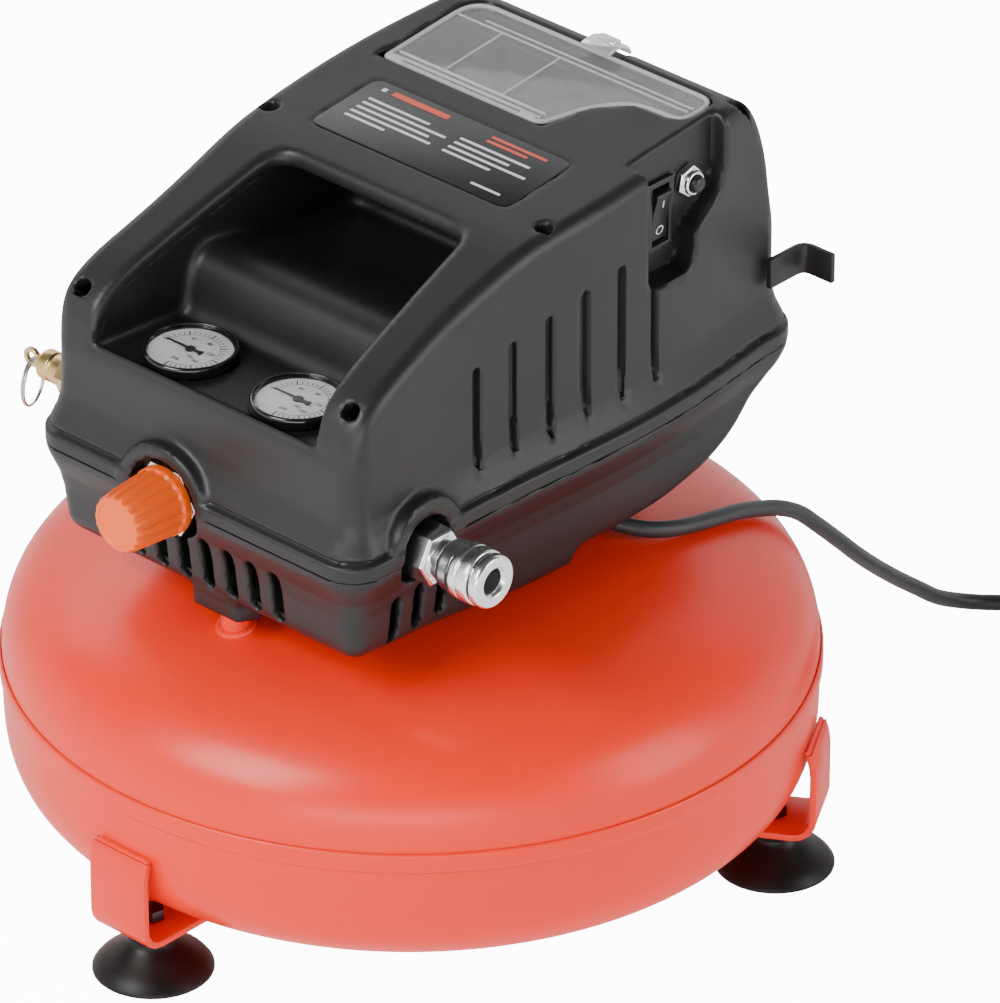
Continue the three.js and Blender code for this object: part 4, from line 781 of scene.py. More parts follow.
lug_weld = swept([(x, y, crown_at(x, y) + 0.3) for x, y in weld_line], 1.5, 8)
saddle = merged(
    block(-29, 29, -45, 90, 157.1, 159.7),
    *[block(x, x + 8, y, y + 8, 143, 157.2) for x in (-29, 21) for y in (-45, 82)],
)
crown = merged(turned(shell_top, 160), lug, lug_weld, saddle)
piece("tank_crown", crown, PAINT, replaces=("tank_upper_half",), angle=40)

outer_low = [(r, SEAM - h) for r, h in dish(TANK_R, BELLY, BELLY_P) if SEAM - h < LAP_LOW - 1]
inner_low = [(r, SEAM - h) for r, h in dish(INNER_R, BELLY - TANK_SHEET, BELLY_P) if SEAM - h < LAP_LOW - 1]
rim = soft(
    [(TANK_R, LAP_LOW - 0.6), (TANK_R + LAP_STEP, LAP_LOW + 0.9), (TANK_R + LAP_STEP, LAP_HIGH - 0.6),
     (TANK_R + 0.3, LAP_HIGH), (TANK_R + 0.3, SEAM - 0.2), (INNER_R, SEAM - 0.2)],
    [0.7, 0.8, 0.8, 0.3, 0, 0], 3, closed=False,
)
piece("tank_belly", turned(outer_low + rim + inner_low[::-1], 160), PAINT, replaces=("tank_lower_half",), angle=40)

# %% [markdown]
# ## Feet
# Each foot is a strap bent into an L and welded to the tank, a bell-shaped rubber cup under it and a
# hexagon bolt. The same foot is made three times, a third of a turn apart.

# %% Feet
FOOT_R, STRAP_SHEET, STRAP_HALF = 155, 3, 15.5
CUP = soft(
    [(0, 2.6), (15.2, 2.6), (21.5, 0), (25.3, 0), (25.3, 1.3), (22.5, 5.0), (15.4, 9.8), (10.6, 13.6), (9.6, 16.2),
     (11.2, 16.8), (11.2, 18.6), (9.2, 20.2), (9.2, 20.4), (0, 20.4)],
    [0, 2, 1, 0.5, 0.6, 3, 3, 2, 0.8, 0.5, 0.5, 0.5, 0, 0], 3,
)
STRAP = [
    (131, 22.2), (164.5, 22.2), (168.2, 22.9), (171.3, 25), (173.1, 28), (173.7, 31), (173.7, 52), (173.4, 56),
    (172.6, 60), (171.6, 63),
]
for name, degrees in (("front", 0), ("right", 120), ("left", 240)):
    spin = turn_about("Z", degrees)
    line = [(-r, z) for r, z in STRAP][::-1]
    strap = strip(line, STRAP_SHEET, -STRAP_HALF, STRAP_HALF)
    weld = swept([(x, -171.0, 63.6) for x in np.linspace(-14.5, 14.5, 12)], 1.1, 8)
    piece(f"{name}_strap", moved(strap, turn=spin), PAINT, replaces=(f"{name}_foot_bracket",), bevel=0.6)
    piece(f"{name}_strap_weld", moved(weld, turn=spin), PAINT)
    cup = turned(CUP, 64, centre=(0, -FOOT_R, 0))
    piece(f"{name}_cup", moved(cup, turn=spin), RUBBER, replaces=(f"{name}_foot_cup",), angle=50)
    bolt = merged(
        turned([(0, 24), (5.3, 24), (5.3, 29), (0, 29)], 6, centre=(0, -FOOT_R, 0), start=0.3),
        turned([(0, 9), (2.6, 9), (2.6, 25), (0, 25)], 20, centre=(0, -FOOT_R, 0)),
    )
    piece(f"{name}_bolt", moved(bolt, turn=spin), DARK_STEEL, replaces=(f"{name}_foot_bolt",), bevel=0.4)

# %% [markdown]
# ## Label, screws and hook
# A thin black film lies in the deck's shallow recess with plain light and red bars in place of print.
# The screws sit deep in their holes. The cord hook is a bent strap.

# %% Label, screws and hook
film = off_deck(prism(soft([(-54.4, -1.4), (54.4, -1.4), (54.4, 39.4), (-54.4, 39.4)], 5.6, 5), -0.45, -0.05))
piece("label_film", film, LABEL, bevel=0.1)


def bar(x0, x1, y0, y1):
    return off_deck(prism(soft([(x0, y0), (x1, y0), (x1, y1), (x0, y1)], min(y1 - y0, 1) * 0.4), -0.1, 0.02))


BAR_TOP, BAR_STEP, BAR_HIGH = 25.6, 3.6, 1.4
light_bars = [
    bar(x, x + wide, BAR_TOP - BAR_STEP * i, BAR_TOP + BAR_HIGH - BAR_STEP * i)
    for x, widths in ((-47, (34, 46, 40, 44, 22)), (4, (38, 30, 42, 26))) for i, wide in enumerate(widths)
]
light_bars += [bar(-47, -44.6, 33.4, 35.8), bar(30, 46, 3.6, 4.9)]
red_bars = [bar(-41, -10, 33.2, 36.2), bar(14, 44, 33.8, 35.4), bar(14, 36, 30.6, 32.2)]
piece("label_light_bars", merged(*light_bars), LIGHT_INK, flat=True)
piece("label_red_bars", merged(*red_bars), RED_INK, flat=True)

screw_head = soft([(0, 228.3), (3.7, 228.3), (3.7, 230.2), (2.6, 231.3), (0, 231.3)], [0, 0.2, 0.8, 0.8, 0])
screw = merged(turned(screw_head, 24), turned([(0, 194), (1.6, 194), (1.6, 229), (0, 229)], 12))
screw_names = [f"{s}_{p}" for s in ("left", "right") for p in ("front", "middle", "rear")]
for (x, y), name in zip(SCREWS, screw_names):
    piece(f"{name}_screw", moved(screw, (x, y, 0)), DARK_STEEL, replaces=(f"{name}_shell_screw",))

hook_line = [
    (80.5, 130), (80.5, 138), (80.5, 146.5), (80.9, 149), (82.2, 150.9), (84.3, 151.7), (89, 151.7), (97, 151.7),
]
hook = strip(hook_line, 2.6, 231.5, 245, "+z")
piece("cord_hook_strap", hook, SHROUD, replaces=("cord_hook",), bevel=0.5)

# %% [markdown]
# ## Storage tray and its lid
# A shallow tray with dividers under a smoky clear sheet. The sheet has a raised rim, a doubled bead along
# its hinge edge and two hinge eyes; a clear spring clip holds its rear edge.

# %% Tray and lid
def grown(outline, by):
    """The outline moved outward along its normals."""
    p = np.array(outline, float)
    e = np.roll(p, -1, 0) - p
    e /= np.linalg.norm(e, axis=1)[:, None]
    n = np.stack([e[:, 1], -e[:, 0]], 1)
    m = n + np.roll(n, 1, 0)
    m /= np.maximum((m * n).sum(1), 0.4)[:, None]
    return [tuple(v) for v in p + m * by]


tray_top, tray_low = -SHELL_WALL - 0.4, -SHELL_WALL - 17.2


def tray_field(x, y, z):
    along, high = on_deck(y, z)
    plan = polygon_distance(LID_EDGE, x, along)
    hollow = both(plan + 1.2, -(high - tray_low - 1.6) + 0 * plan, 2.5)
    d = less(np.maximum(plan - 0.3, slab(high, tray_low, tray_top)), hollow, 0.6)
    walls = np.minimum(
        np.maximum(np.abs(along - 98) - 0.9, slab(x, -64, 66)),
        np.maximum(np.minimum(np.abs(x + 38), np.abs(x + 6)) - 0.9, slab(along, 56, 98)),
    )
    walls = highest([walls, slab(high, tray_low + 0.5, tray_top - 1.4), plan])
    d = either(d, walls, 0.8)
    return less(d, highest([slab(x, -69, 25), slab(along, 50, 59), slab(high, tray_top - 2.6, 5)]))


skinned(
    "tray", tray_field, np.arange(-70, 72, 1.5), np.arange(50, 116, 1.5), np.arange(293, 323, 1.0), TRAY,
    ("storage_tray",),
)

sheet = prism(grown(LID_EDGE, -0.6), -2.0, -0.9)
rim_line = [(x, y, -1.2) for x, y in grown(LID_EDGE, -1.1)]
rim_bead = swept(rim_line + rim_line[:1], 1.05, 8, capped=False)
hinge = [swept([(x, y, -1.0) for x in np.linspace(-62, 19, 30)], 0.75, 8) for y in (58.2, 61.4)]
eye_profile = soft([(0, -4), (1.8, -4), (1.8, 4), (0, 4)], [0, 0.5, 0.5, 0])
eyes = [turned(eye_profile, 20, "+x", (x, 56.2, -1.2)) for x in (-60, 14)]
ridges = [
    swept([(a + (c - a) * t, b + (e - b) * t, -1.1) for t in np.linspace(0, 1, 12)], 0.5, 6)
    for a, b, c, e in ((-38, 62.5, -38, 97), (-6, 62.5, -6, 97), (-63, 97.6, 64, 97.6), (-50, 100.6, 64, 100.6))
]
piece("lid_sheet", off_deck(sheet), SMOKY, "lid", ("tray_lid",), bevel=0.25)
# The rim parts take the lighter clear finish, a painted highlight along the lid's edges.
piece("lid_rim", off_deck(merged(rim_bead, *hinge, *eyes, *ridges)), RIM_CLEAR_AND_HIGHLIGHT, "lid", angle=60)

latch_line = soft([(108, 1.5), (112, 1.9), (115, 1.9), (119, 0.2), (121, -4)], 1.2, 3, closed=False)
clip = strip(latch_line, 1.4, -4, 12)
grip = strip([(114, 3.0), (116.8, 2.7), (118.6, 1.9)], 1.2, -1, 9)
piece("lid_clip", off_deck(merged(clip, grip)), CLIP, "latch", ("lid_latch",), bevel=0.3)

# %% [markdown]
# ## Gauges
# A glossy bezel round a pale dial under a thin lens. The scale's marks repeat, so a Geometry Nodes tree sets
# them round an arc; the few numbers are plain text made into meshes.

# %% Scale marks by Geometry Nodes
def scale_tree():
    tree = bpy.data.node_groups.new("scale_marks", "GeometryNodeTree")
    for label, kind, value in (
        ("Count", "Int", 31), ("Radius", "Float", 0.0136), ("Length", "Float", 0.0016), ("Width", "Float", 0.0003),
        ("Every", "Int", 5), ("Start", "Float", 0.0), ("Sweep", "Float", 1.5 * math.pi),
    ):
        tree.interface.new_socket(name=label, in_out="INPUT", socket_type="NodeSocket" + kind).default_value = value
    tree.interface.new_socket(name="Material", in_out="INPUT", socket_type="NodeSocketMaterial")
    tree.interface.new_socket(name="Geometry", in_out="OUTPUT", socket_type="NodeSocketGeometry")
    new, link = tree.nodes.new, tree.links.new
    given, taken = new("NodeGroupInput"), new("NodeGroupOutput")

    def maths(operation, a, b=None):
        node = new("ShaderNodeMath")
        node.operation = operation
        for socket, value in zip(node.inputs, (a, b)):
            if hasattr(value, "is_output"):
                link(value, socket)
            elif value is not None:
                socket.default_value = value
        return node.outputs[0]

    index = new("GeometryNodeInputIndex").outputs[0]
    points = new("GeometryNodePoints")
    link(given.outputs["Count"], points.inputs["Count"])
    part = maths("DIVIDE", index, maths("SUBTRACT", given.outputs["Count"], 1))
    angle = maths("ADD", given.outputs["Start"], maths("MULTIPLY", part, given.outputs["Sweep"]))
    place_at = new("ShaderNodeCombineXYZ")
    link(maths("MULTIPLY", maths("COSINE", angle), given.outputs["Radius"]), place_at.inputs["X"])
    link(maths("MULTIPLY", maths("SINE", angle), given.outputs["Radius"]), place_at.inputs["Y"])
    link(place_at.outputs[0], points.inputs["Position"])
    mark = new("GeometryNodeMeshCube")
    size = new("ShaderNodeCombineXYZ")
    link(given.outputs["Length"], size.inputs["X"])
    link(given.outputs["Width"], size.inputs["Y"])
    size.inputs["Z"].default_value = 0.00008
    link(size.outputs[0], mark.inputs["Size"])
    major = maths("LESS_THAN", maths("MODULO", index, given.outputs["Every"]), 0.5)
    long = new("ShaderNodeCombineXYZ")
    link(maths("ADD", 1, maths("MULTIPLY", major, 0.7)), long.inputs["X"])
    link(maths("ADD", 1, maths("MULTIPLY", major, 0.8)), long.inputs["Y"])
    long.inputs["Z"].default_value = 1
    turn = new("ShaderNodeCombineXYZ")
    link(angle, turn.inputs["Z"])
    spread = new("GeometryNodeInstanceOnPoints")
    link(points.outputs[0], spread.inputs["Points"])
    link(mark.outputs["Mesh"], spread.inputs["Instance"])
    link(turn.outputs[0], spread.inputs["Rotation"])
    link(long.outputs[0], spread.inputs["Scale"])
    real = new("GeometryNodeRealizeInstances")
    paint = new("GeometryNodeSetMaterial")
    link(spread.outputs[0], real.inputs[0])
    link(real.outputs[0], paint.inputs["Geometry"])
    link(given.outputs["Material"], paint.inputs["Material"])
    link(paint.outputs[0], taken.inputs[0])
    return tree


SCALE = scale_tree()


def generated(tree, **values):
    """Points and faces, in mm about the origin, that a tree gives for these inputs."""
    carrier = bpy.data.objects.new("carrier", bpy.data.meshes.new("carrier"))
    bpy.context.scene.collection.objects.link(carrier)
    modifier = carrier.modifiers.new("made", "NODES")
    modifier.node_group = tree
    for item in tree.interface.items_tree:
        if item.in_out == "INPUT" and item.name in values:
            modifier[item.identifier] = values[item.name]
    graph = bpy.context.evaluated_depsgraph_get()
    mesh = bpy.data.meshes.new_from_object(carrier.evaluated_get(graph), depsgraph=graph)
    part = np.array([v.co for v in mesh.vertices]) * 1000, [list(p.vertices) for p in mesh.polygons]
    bpy.data.objects.remove(carrier)
    bpy.data.meshes.remove(mesh)
    return part


def lettered(text, size, thick=0.04):
    """Plain sans text as a flat mesh, centred, in mm."""
    curve = bpy.data.curves.new("letters", "FONT")
    curve.body, curve.size = text, size
    curve.align_x = curve.align_y = "CENTER"
    curve.extrude, curve.resolution_u = thick, 2
    carrier = bpy.data.objects.new("letters", curve)
    bpy.context.scene.collection.objects.link(carrier)
    graph = bpy.context.evaluated_depsgraph_get()
    mesh = bpy.data.meshes.new_from_object(carrier.evaluated_get(graph), depsgraph=graph)
    part = np.array([v.co for v in mesh.vertices]), [list(p.vertices) for p in mesh.polygons]
    bpy.data.objects.remove(carrier)
    bpy.data.meshes.remove(mesh)
    return part


# %% Gauges
DIAL_TOP, ARC_R, NUMBER_R = 254.2, 12.1, 8.9
START, SWEEP = math.pi, -1.5 * math.pi
NUMBERS = ("0", "40", "80", "120", "160", "200")
marks = generated(SCALE, Start=START, Sweep=SWEEP, Material=DARK_INK[0])
arc = [
    (ARC_R * math.cos(START + SWEEP * t), ARC_R * math.sin(START + SWEEP * t), 0) for t in np.linspace(0, 1, 60)
]
print("scale marks", len(marks[1]), "faces")
for name, x in GAUGES.items():
    at, base = (x, GAUGE_Y, 0), (x, GAUGE_Y, DIAL_TOP + 0.05)
    case = soft(
        [(0, 219.8), (4, 219.8), (4, 233.5), (19, 233.5), (19, 251.8), (19.9, 251.8), (19.9, 255.5), (19.2, 256.5),
         (18.3, 256.5), (18.3, 255.2), (17.6, 255.2), (17.6, 252.8), (16, 252.8), (16, 234.9), (0, 234.9)],
        [0, 0, 0.5, 1, 0.3, 0.3, 0.9, 0.8, 0.5, 0.3, 0.3, 0.2, 0.2, 0.2, 0], 3,
    )
    piece(f"{name}_bezel", turned(case, 72, centre=at), GLOSS, replaces=(f"{name}_gauge_case",))
    face = soft([(0, 253.1), (17.4, 253.1), (17.4, DIAL_TOP), (0, DIAL_TOP)], [0, 0.1, 0.2, 0])
    piece(f"{name}_face", turned(face, 64, centre=at), DIAL, replaces=(f"{name}_gauge_dial",))
    labels = []
    for i, text in enumerate(NUMBERS):
        a = START + SWEEP * i / (len(NUMBERS) - 1)
        labels.append(moved(lettered(text, 2.6), (NUMBER_R * math.cos(a), NUMBER_R * math.sin(a), 0)))
    arc_line = swept(arc, 0.13, 4)
    arc_line = arc_line[0] * (1, 1, 0.2), arc_line[1]
    unit = moved(lettered("PSI", 2.4), (3.6, -4.2, 0))
    print_part = merged(marks, arc_line, *labels, unit)
    piece(f"{name}_printing", moved(print_part, base), DARK_INK, flat=True)
    blade = prism([(-13, -0.25), (4.2, -0.8), (6, -1.5), (6, 1.5), (4.2, 0.8), (-13, 0.25)], 0.35, 0.8)
    hub = turned(soft([(0, 0.2), (2.2, 0.2), (2.2, 0.9), (0, 1.05)], [0, 0.1, 0.4, 0.4]), 24)
    pointer = moved(merged(blade, hub), base)
    piece(f"{name}_pointer", pointer, DARK_INK, f"{name}_needle", (f"{name}_gauge_needle",))
    glass = soft([(0, 255.45), (18.1, 255.45), (18.1, 256.1), (12, 256.4), (0, 256.55)], [0, 0.1, 0.2, 3, 0], 3)
    piece(f"{name}_glass", turned(glass, 64, centre=at), LENS_GLASS, replaces=(f"{name}_gauge_lens",))

# %% [markdown]
# ## Regulator knob
# Eighteen shallow flutes on a slightly tapering cap, a plain skirt at its root and a dished face.

# %% Knob
FLUTES = 18


def fluted(stations, segments=144):
    """Rings [radius, along, flute depth] joined into one closed body, along -Y."""
    angle = np.arange(segments) * 2 * math.pi / segments
    wave = np.clip(0.5 - 0.9 * np.cos(angle * FLUTES), 0, 1)
    rings = []
    for r, a, depth in stations:
        rr = r - depth * wave
        rings.append(np.stack([rr * np.cos(angle), np.full(segments, -a), rr * np.sin(angle)], 1))
    return np.concatenate(rings), tube_faces(len(stations), segments)


knob = fluted([
    (0.01, 129, 0), (14.6, 129, 0), (14.9, 127.2, 0), (15.0, 127, 0.1), (15.1, 127.4, 0.2), (15.1, 130.2, 0.2),
    (14.8, 130.8, 0.3), (14.5, 131.4, 0.7), (14.4, 134, 0.9), (13.4, 147, 0.9), (12.75, 153.2, 0.9), (12.4, 154.4, 0.7),
    (11.8, 155.1, 0.3), (11, 155.4, 0.05), (10, 155.4, 0), (9.4, 155.0, 0), (0.01, 154.9, 0),
])
piece("knob_cap", moved(knob, (KNOB_X, 0, PARTING)), KNOB, "knob", ("regulator_knob",), angle=30)
ring_nut = soft([(7.3, 123.7), (16.5, 123.7), (16.5, 126.9), (7.3, 126.9)], 0.3)
piece("knob_nut", turned(ring_nut, 6, "-y", (KNOB_X, 0, PARTING)), CHROME, replaces=("regulator_ring_nut",), bevel=0.4)

# %% [markdown]
# ## Quick coupler
# A hexagon with a thread behind it, a barrel, a sliding sleeve with a waist and a groove, and a front
# ring round the bore.

# %% Coupler
AT_COUPLER = (0, COUPLER_Y, PARTING)
body = merged(
    turned([(0, 50.3), (6.5, 50.3), (6.5, 84), (0, 84)], 32, "+x", AT_COUPLER),
    turned(
        soft([(0, 74), (12.3, 74), (12.3, 97), (11.4, 98), (0, 98)], [0, 0.6, 0.6, 0.5, 0]), 6, "+x", AT_COUPLER,
    ),
    turned(soft([(0, 95), (8.8, 95), (8.8, 104), (8.6, 105), (0, 105)], [0, 0, 0.6, 0.5, 0]), 48, "+x", AT_COUPLER),
    turned(soft(
        [(0, 95), (8.5, 95), (8.5, 122.2), (11.3, 122.2), (11.5, 122.6), (11.5, 125.4), (10.6, 126.5), (6.6, 126.5),
         (5.2, 124.8), (5.2, 106.5), (0, 106.5)],
        [0, 0, 0.3, 0.3, 0.3, 0.5, 0.6, 0.6, 0.6, 0, 0]), 48, "+x", AT_COUPLER),
)
piece("coupler_stem", body, CHROME, replaces=("coupler_body",), angle=30)
# A dark steel disc on the bore's floor is painted shade deep in the bore.
bore_shade_disc = turned([(0, 106.6), (5.1, 106.6), (5.1, 107.4), (0, 107.4)], 32, "+x", AT_COUPLER)
piece("coupler_bore_shade", bore_shade_disc, DARK_STEEL)
sleeve = soft(
    [(9, 103.1), (10.4, 103.1), (10.9, 105), (10.9, 109.4), (12, 111), (12, 114.6), (11.7, 114.9), (11.7, 115.3),
     (12, 115.6), (12, 120.5), (11.4, 121.1), (9, 121.1)],
    [0.2, 0.4, 0.5, 0.6, 0.8, 0.1, 0.1, 0.1, 0.1, 0.3, 0.3, 0.2], 2,
)
piece("coupler_grip", turned(sleeve, 64, "+x", AT_COUPLER), CHROME, "sleeve", ("coupler_sleeve",), angle=30)

# %% [markdown]
# ## Safety valve
# A brass hexagon and barrel, the pull stem with its flat eye, and a split ring of two and a bit turns.

# %% Safety valve
AT_VALVE, EYE_X = (0, RELIEF_Y, RELIEF_Z), -126
barrel = soft(
    [(0, 105), (6.6, 105), (6.6, 110.6), (5.9, 111.2), (5.9, 112.2), (6.6, 112.8), (6.6, 117.6), (5.4, 119),
     (2.4, 119), (2.4, 111), (0, 111)],
    [0, 0, 0.3, 0.3, 0.3, 0.3, 0.6, 0.6, 0.3, 0, 0],
)
valve = merged(
    turned([(0, 62.3), (5.5, 62.3), (5.5, 90), (0, 90)], 32, "-x", AT_VALVE),
    turned(soft([(0, 89), (8.66, 89), (8.66, 106), (0, 106)], [0, 0.8, 0.8, 0]), 6, "-x", AT_VALVE, 0.2),
    turned(barrel, 40, "-x", AT_VALVE),
)
piece("valve_barrel", valve, BRASS, replaces=("safety_valve_body",), angle=30)
eye_ring = [(4.4, -1.0), (4.4, 1.0), (2.4, 1.0), (2.4, -1.0)]
eye = turned(soft(eye_ring, 0.4), 32, "-y", (EYE_X, RELIEF_Y, RELIEF_Z))
shank = turned([(0, 113), (1.8, 113), (1.8, 122.8), (0, 122.8)], 20, "-x", AT_VALVE)
piece("valve_pull", merged(shank, eye), BRASS, "valve_stem", ("safety_valve_stem",))
RING_R, RING_WIRE, COIL_GAP = 10.25, 0.58, 0.62
ring = [
    (COIL_GAP * math.sin(t / 2 - math.pi / 2), RING_R * math.sin(t), RING_R * math.cos(t))
    for t in np.linspace(0, 4 * math.pi, 120)
]
split_ring = moved(swept(ring, RING_WIRE, 8), turn=turn_about("Z", 20))
split_ring = moved(split_ring, (EYE_X, RELIEF_Y, RELIEF_Z - 11.6))
piece("valve_split_ring", split_ring, STEEL, "valve_ring", ("safety_valve_ring",), angle=60)

# %% [markdown]
# ## Switch and reset
# A rocker with its two marks in a thin frame, and beside it a black reset button in a bright nut.

# %% Switch and reset
SW_Y, SW_Z = 70, 288
PIVOT, TILT, PADDLE = 70.5, 0.16, 11.6


def hollow(outer, inner, x0, x1):
    """A rectangular frame from x0 to x1; outer and inner are half sizes along y and z."""
    rims = ((x0, outer), (x1, outer), (x1, inner), (x0, inner))
    points = [(x, s * hy, t * hz) for x, (hy, hz) in rims for s, t in ((-1, -1), (1, -1), (1, 1), (-1, 1))]
    faces = [
        [4 * a + i, 4 * a + (i + 1) % 4, 4 * ((a + 1) % 4) + (i + 1) % 4, 4 * ((a + 1) % 4) + i]
        for a in range(4) for i in range(4)
    ]
    return points, faces


OPENING = (5.0, 13.3)
housing = merged(
    hollow((7.9, 15.9), OPENING, 72.8, 74.4), hollow((6.3, 14.3), OPENING, 56.8, 72.9),
    block(56.8, 58.8, -5.2, 5.2, -13.5, 13.5),
)
piece("switch_frame", moved(housing, (0, SW_Y, SW_Z)), BLACK, replaces=("rocker_frame",), bevel=0.35)
paddle_line = soft(
    [(-6, -3), (-1, -PADDLE), (4.2, -PADDLE), (4.6, -PADDLE + 1), (3.5, 0), (4.6, PADDLE - 1), (4.2, PADDLE),
     (-1, PADDLE), (-6, 3)],
    [0, 0.5, 0.4, 0.4, 6, 0.4, 0.4, 0.5, 0], 4,
)
lean, at_pivot = turn_about("Y", math.degrees(TILT)), (PIVOT, SW_Y, SW_Z)
paddle = moved(prism(paddle_line, -4.7, 4.7, "-y"), at_pivot, lean)
piece("switch_paddle", paddle, BLACK, "rocker", ("rocker_switch",), bevel=0.3)
upright = turn_about("Z", 90) @ turn_about("X", 90)
one = moved(prism([(-0.35, -2), (0.35, -2), (0.35, 2), (-0.35, 2)], 0, 0.1), turn=upright)
ring_pts = [(1.9 * math.cos(t), 1.9 * math.sin(t), 0.05) for t in np.linspace(0, 2 * math.pi, 33)[:-1]]
zero = moved(swept(ring_pts + ring_pts[:1], 0.33, 6), turn=upright)
zero = np.asarray(zero[0]) * (0.25, 1, 1), zero[1]
switch_marks = merged(moved(one, (4.22, 0, 6.6)), moved(zero, (4.3, 0, -6.6)))
piece("switch_marks", moved(switch_marks, at_pivot, lean), LIGHT_INK, "rocker", flat=True)

AT_RESET = (0, 87, 297)
nut = soft([(4.1, 72.8), (7.5, 72.8), (7.5, 75.4), (6.6, 76), (4.1, 76)], [0, 0, 0.6, 0.6, 0])
neck = soft([(4.1, 75.5), (5.4, 75.5), (5.4, 77.6), (4.9, 78.2), (4.1, 78.2)], [0, 0, 0.4, 0.4, 0])
collar = merged(turned(nut, 6, "+x", AT_RESET, 0.3), turned(neck, 32, "+x", AT_RESET))
piece("reset_collar", collar, CHROME, replaces=("reset_nut",), bevel=0.3)
button = soft([(0, 58.5), (3.6, 58.5), (3.6, 79.8), (2.8, 80.8), (0, 81)], [0, 0, 0.8, 1, 0])
piece("reset_cap", turned(button, 32, "+x", AT_RESET), BLACK, "reset", ("reset_button",))

# %% [markdown]
# ## Boot, tie and plug
# The boot is ribbed where it bends; the tie is a band round the coil; the plug is a moulded body with
# two blades and an earth pin.

# %% Boot, tie and plug
ribs = [(0, 0), (4.9, 0), (4.9, 3)]
for k in range(5):
    a, r = 3 + k * 3.3, 4.85 - 0.12 * k
    ribs += [(r, a + 0.1), (r, a + 1.9), (r - 0.75, a + 2.2), (r - 0.75, a + 3.0)]
ribs += [(4.2, 19.6), (4.2, 20.4), (0, 20.4)]
piece("cord_boot", turned(ribs, 32, "+x", (36.5, 45, 153)), CORD, replaces=("strain_relief",))


TIE_SHEET, TIE_HALF = 1, 5


def tie_ring(near=26.8, far=49.7, low=1.1, high=15.9):
    """A rounded band round the coil's section, which lies near to far from the coil's centre."""
    w = TIE_SHEET
    outer = soft([(near - w, low - w), (far + w, low - w), (far + w, high + w), (near - w, high + w)], 4.5, 4)
    wide, tall = (far - near) / (far - near + 2 * w), (high - low) / (high - low + 2 * w)
    inner = [(near + (x - near + w) * wide, low + (z - low + w) * tall) for x, z in outer]
    n = len(outer)
    points = [(s * TIE_HALF, y, z) for s in (-1, 1) for line in (outer, inner) for y, z in line]
    faces = []
    for i in range(n):
        j = (i + 1) % n
        faces += [
            [i, j, 2 * n + j, 2 * n + i], [n + j, n + i, 3 * n + i, 3 * n + j], [i, n + i, n + j, j],
            [2 * n + j, 3 * n + j, 3 * n + i, 2 * n + i],
        ]
    return points, faces


tie = moved(tie_ring(), (*COIL, 0), turn_about("Z", -20))
tie = piece("lead_tie", tie, BLACK, replaces=("coil_tie",), bevel=0.2)

PX, PY, PLEVEL = COIL[0] + 45.7, PLUG_Y, 10.2
rings = [
    (0, 4.6, 4.6, 6.6), (8, 4.9, 4.9, 6.9), (20, 5.4, 5.4, 7.8), (29, 7, 6.4, 9.2), (32, 9.8, 8.6, PLEVEL),
    (38, 11.4, 9.7, PLEVEL), (52, 12, 9.9, PLEVEL), (62, 12, 9.9, PLEVEL), (64, 11.4, 9.4, PLEVEL),
]
squared = lambda v: math.copysign(abs(v) ** 0.6, v)
plug_points, sides = [], 28
for down, hx, hz, z in rings:
    for t in np.arange(sides) * 2 * math.pi / sides:
        plug_points.append((PX + hx * squared(math.cos(t)), PY - down, z + hz * squared(math.sin(t))))
plug_faces = tube_faces(len(rings), sides)
plug_faces += [list(range(sides)), list(range((len(rings) - 1) * sides, len(rings) * sides))[::-1]]
plug = piece("plug_body", (plug_points, plug_faces), CORD, replaces=("power_plug",))
BLADE_GAP, EARTH_UP = 6.35, 5.6
earth = soft([(0, 62 - PY), (2.4, 62 - PY), (2.4, 82 - PY), (0, 83 - PY)], [0, 0, 1, 1])
blades = merged(
    *[block(x - 0.8, x + 0.8, PY - 81, PY - 62, PLEVEL - 6, PLEVEL + 0.3) for x in (PX - BLADE_GAP, PX + BLADE_GAP)],
    turned(earth, 20, "-y", (PX, 0, PLEVEL + EARTH_UP)),
)
pins = piece("plug_pins", blades, STEEL, bevel=0.25)

# %% [markdown]
# ## Inside
# The motor, the pump and the air fittings stay as the CAD part has them and only get their finishes.

# %% Inside
INSIDE = {
    "drain_cock_body": BRASS, "drain_cock_handle": BRASS, "air_manifold": BRASS, "regulator_body": BRASS,
    "pressure_switch": BLACK, "motor_stator": IRON, "motor_rotor": STEEL, "cooling_fan": BLACK,
    "wobble_piston": ALUMINIUM, "cylinder": ALUMINIUM, "cylinder_head": ALUMINIUM, "discharge_tube": STEEL,
}
for name, (material, _) in INSIDE.items():
    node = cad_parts[name]
    for slot in node.material_slots:
        slot.material = material
print("finished inside nodes", len(INSIDE))

# %% [markdown]
# ## Floor and light
# A white floor that runs up behind as a sweep and is clear when seen from outside, a pale sky, a wide
# soft key from the front left and above, a strip behind for the shroud's edges and two low fills.

# %% Floor and light
WIDE = 4.0
profile = [(-WIDE, 0), (1.6, 0), (2.1, 0.08), (2.5, 0.3), (2.8, 0.7), (2.9, 1.2), (2.9, 3.5)]
turn = Matrix.Rotation(azimuth, 4, "Z")
floor_mesh = bpy.data.meshes.new("floor")
floor_mesh.from_pydata(
    [turn @ Vector((x, y, z)) for y, z in profile for x in (-WIDE, WIDE)], [],
    [[2 * i, 2 * i + 1, 2 * i + 3, 2 * i + 2] for i in range(len(profile) - 1)],
)
floor_mesh.shade_smooth()
paper = bpy.data.materials.new("paper")
paper.use_nodes = True
nodes, link = paper.node_tree.nodes, paper.node_tree.links.new
shader = nodes["Principled BSDF"]
shader.inputs["Base Color"].default_value = (0.93, 0.93, 0.93, 1)
shader.inputs["Roughness"].default_value = 0.9
shader.inputs["Specular IOR Level"].default_value = 0.1
seen = nodes.new("ShaderNodeLightPath")
glow = nodes.new("ShaderNodeMapRange")
glow.inputs["To Min"].default_value, glow.inputs["To Max"].default_value = 0.3, 12
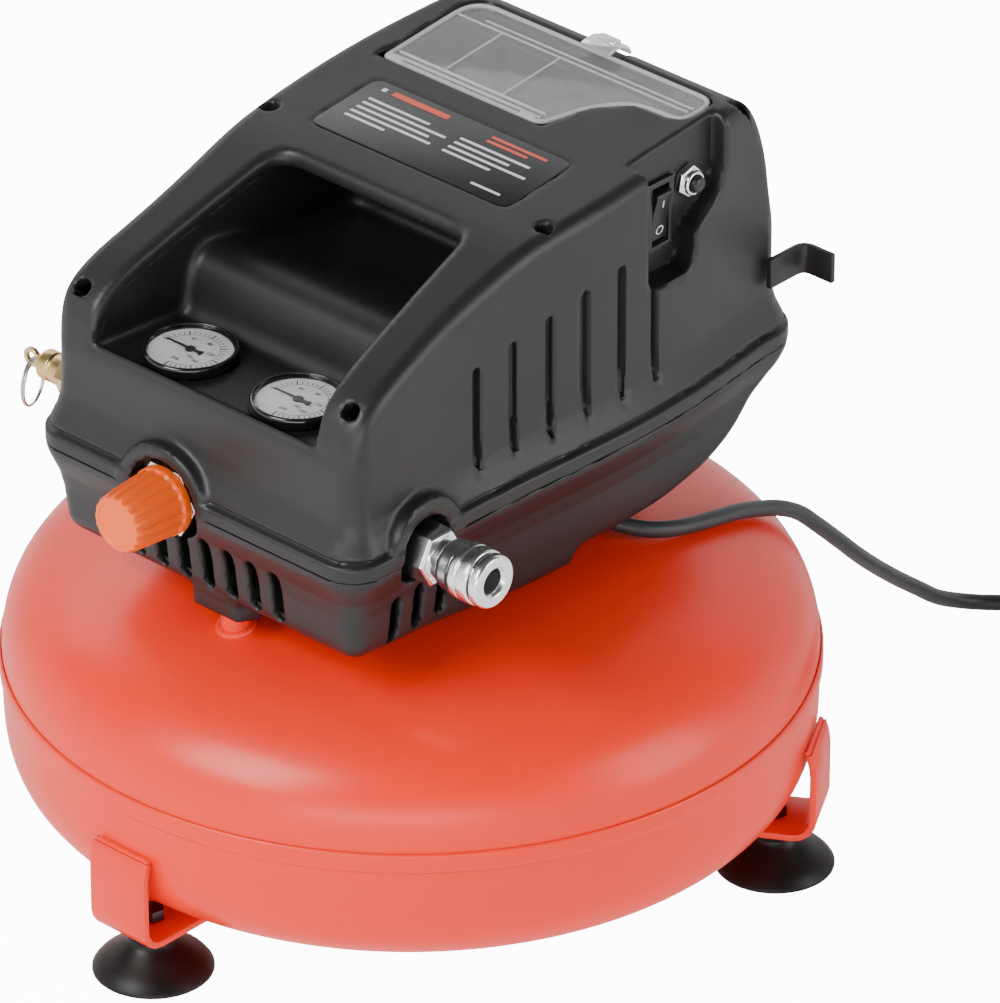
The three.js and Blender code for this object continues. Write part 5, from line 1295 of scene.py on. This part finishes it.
link(seen.outputs["Is Camera Ray"], glow.inputs["Value"])
shader.inputs["Emission Color"].default_value = (1, 1, 1, 1)
link(glow.outputs["Result"], shader.inputs["Emission Strength"])
outside = nodes.new("ShaderNodeNewGeometry")
clear = nodes.new("ShaderNodeBsdfTransparent")
either_side = nodes.new("ShaderNodeMixShader")
for given, socket in zip((outside.outputs["Backfacing"], shader.outputs[0], clear.outputs[0]), either_side.inputs):
    link(given, socket)
link(either_side.outputs[0], nodes["Material Output"].inputs["Surface"])
floor_mesh.materials.append(paper)
floor = bpy.data.objects.new("floor", floor_mesh)
bpy.context.scene.collection.objects.link(floor)

world = bpy.data.worlds.new("studio")
bpy.context.scene.world = world
world.use_nodes = True
nodes, link = world.node_tree.nodes, world.node_tree.links.new
sky = nodes["Background"]
sky.inputs["Color"].default_value = (1, 1, 1, 1)
where = nodes.new("ShaderNodeTexCoord")
split = nodes.new("ShaderNodeSeparateXYZ")
fade = nodes.new("ShaderNodeMapRange")
fade.inputs["From Min"].default_value, fade.inputs["From Max"].default_value = 0.05, 0.6
fade.inputs["To Min"].default_value, fade.inputs["To Max"].default_value = 1.5, 0.12
link(where.outputs["Generated"], split.inputs[0])
link(split.outputs["Z"], fade.inputs["Value"])
link(fade.outputs["Result"], sky.inputs["Strength"])


def soft_light(name, side, height, back, size, power, aim_at=(0, 0, 0.18)):
    """An area light placed in the camera's own turn: side to the right, back away from the camera."""
    data = bpy.data.lights.new(name, "AREA")
    data.shape, data.size, data.size_y, data.energy = "RECTANGLE", size[0], size[1], power
    lamp = bpy.data.objects.new(name, data)
    lamp.location = turn @ Vector((side, back, height))
    lamp.rotation_euler = (Vector(aim_at) - lamp.location).normalized().to_track_quat("-Z", "Y").to_euler()
    bpy.context.scene.collection.objects.link(lamp)


soft_light("key", -1.1, 1.3, -0.9, (0.9, 0.9), 33)
soft_light("back_strip", -0.9, 1.2, 1.3, (1.2, 0.5), 4)
soft_light("right_fill", 1.6, 0.7, -0.6, (0.8, 1.2), 13)
soft_light("low_front", -0.2, 0.35, -1.8, (1.6, 0.4), 10)
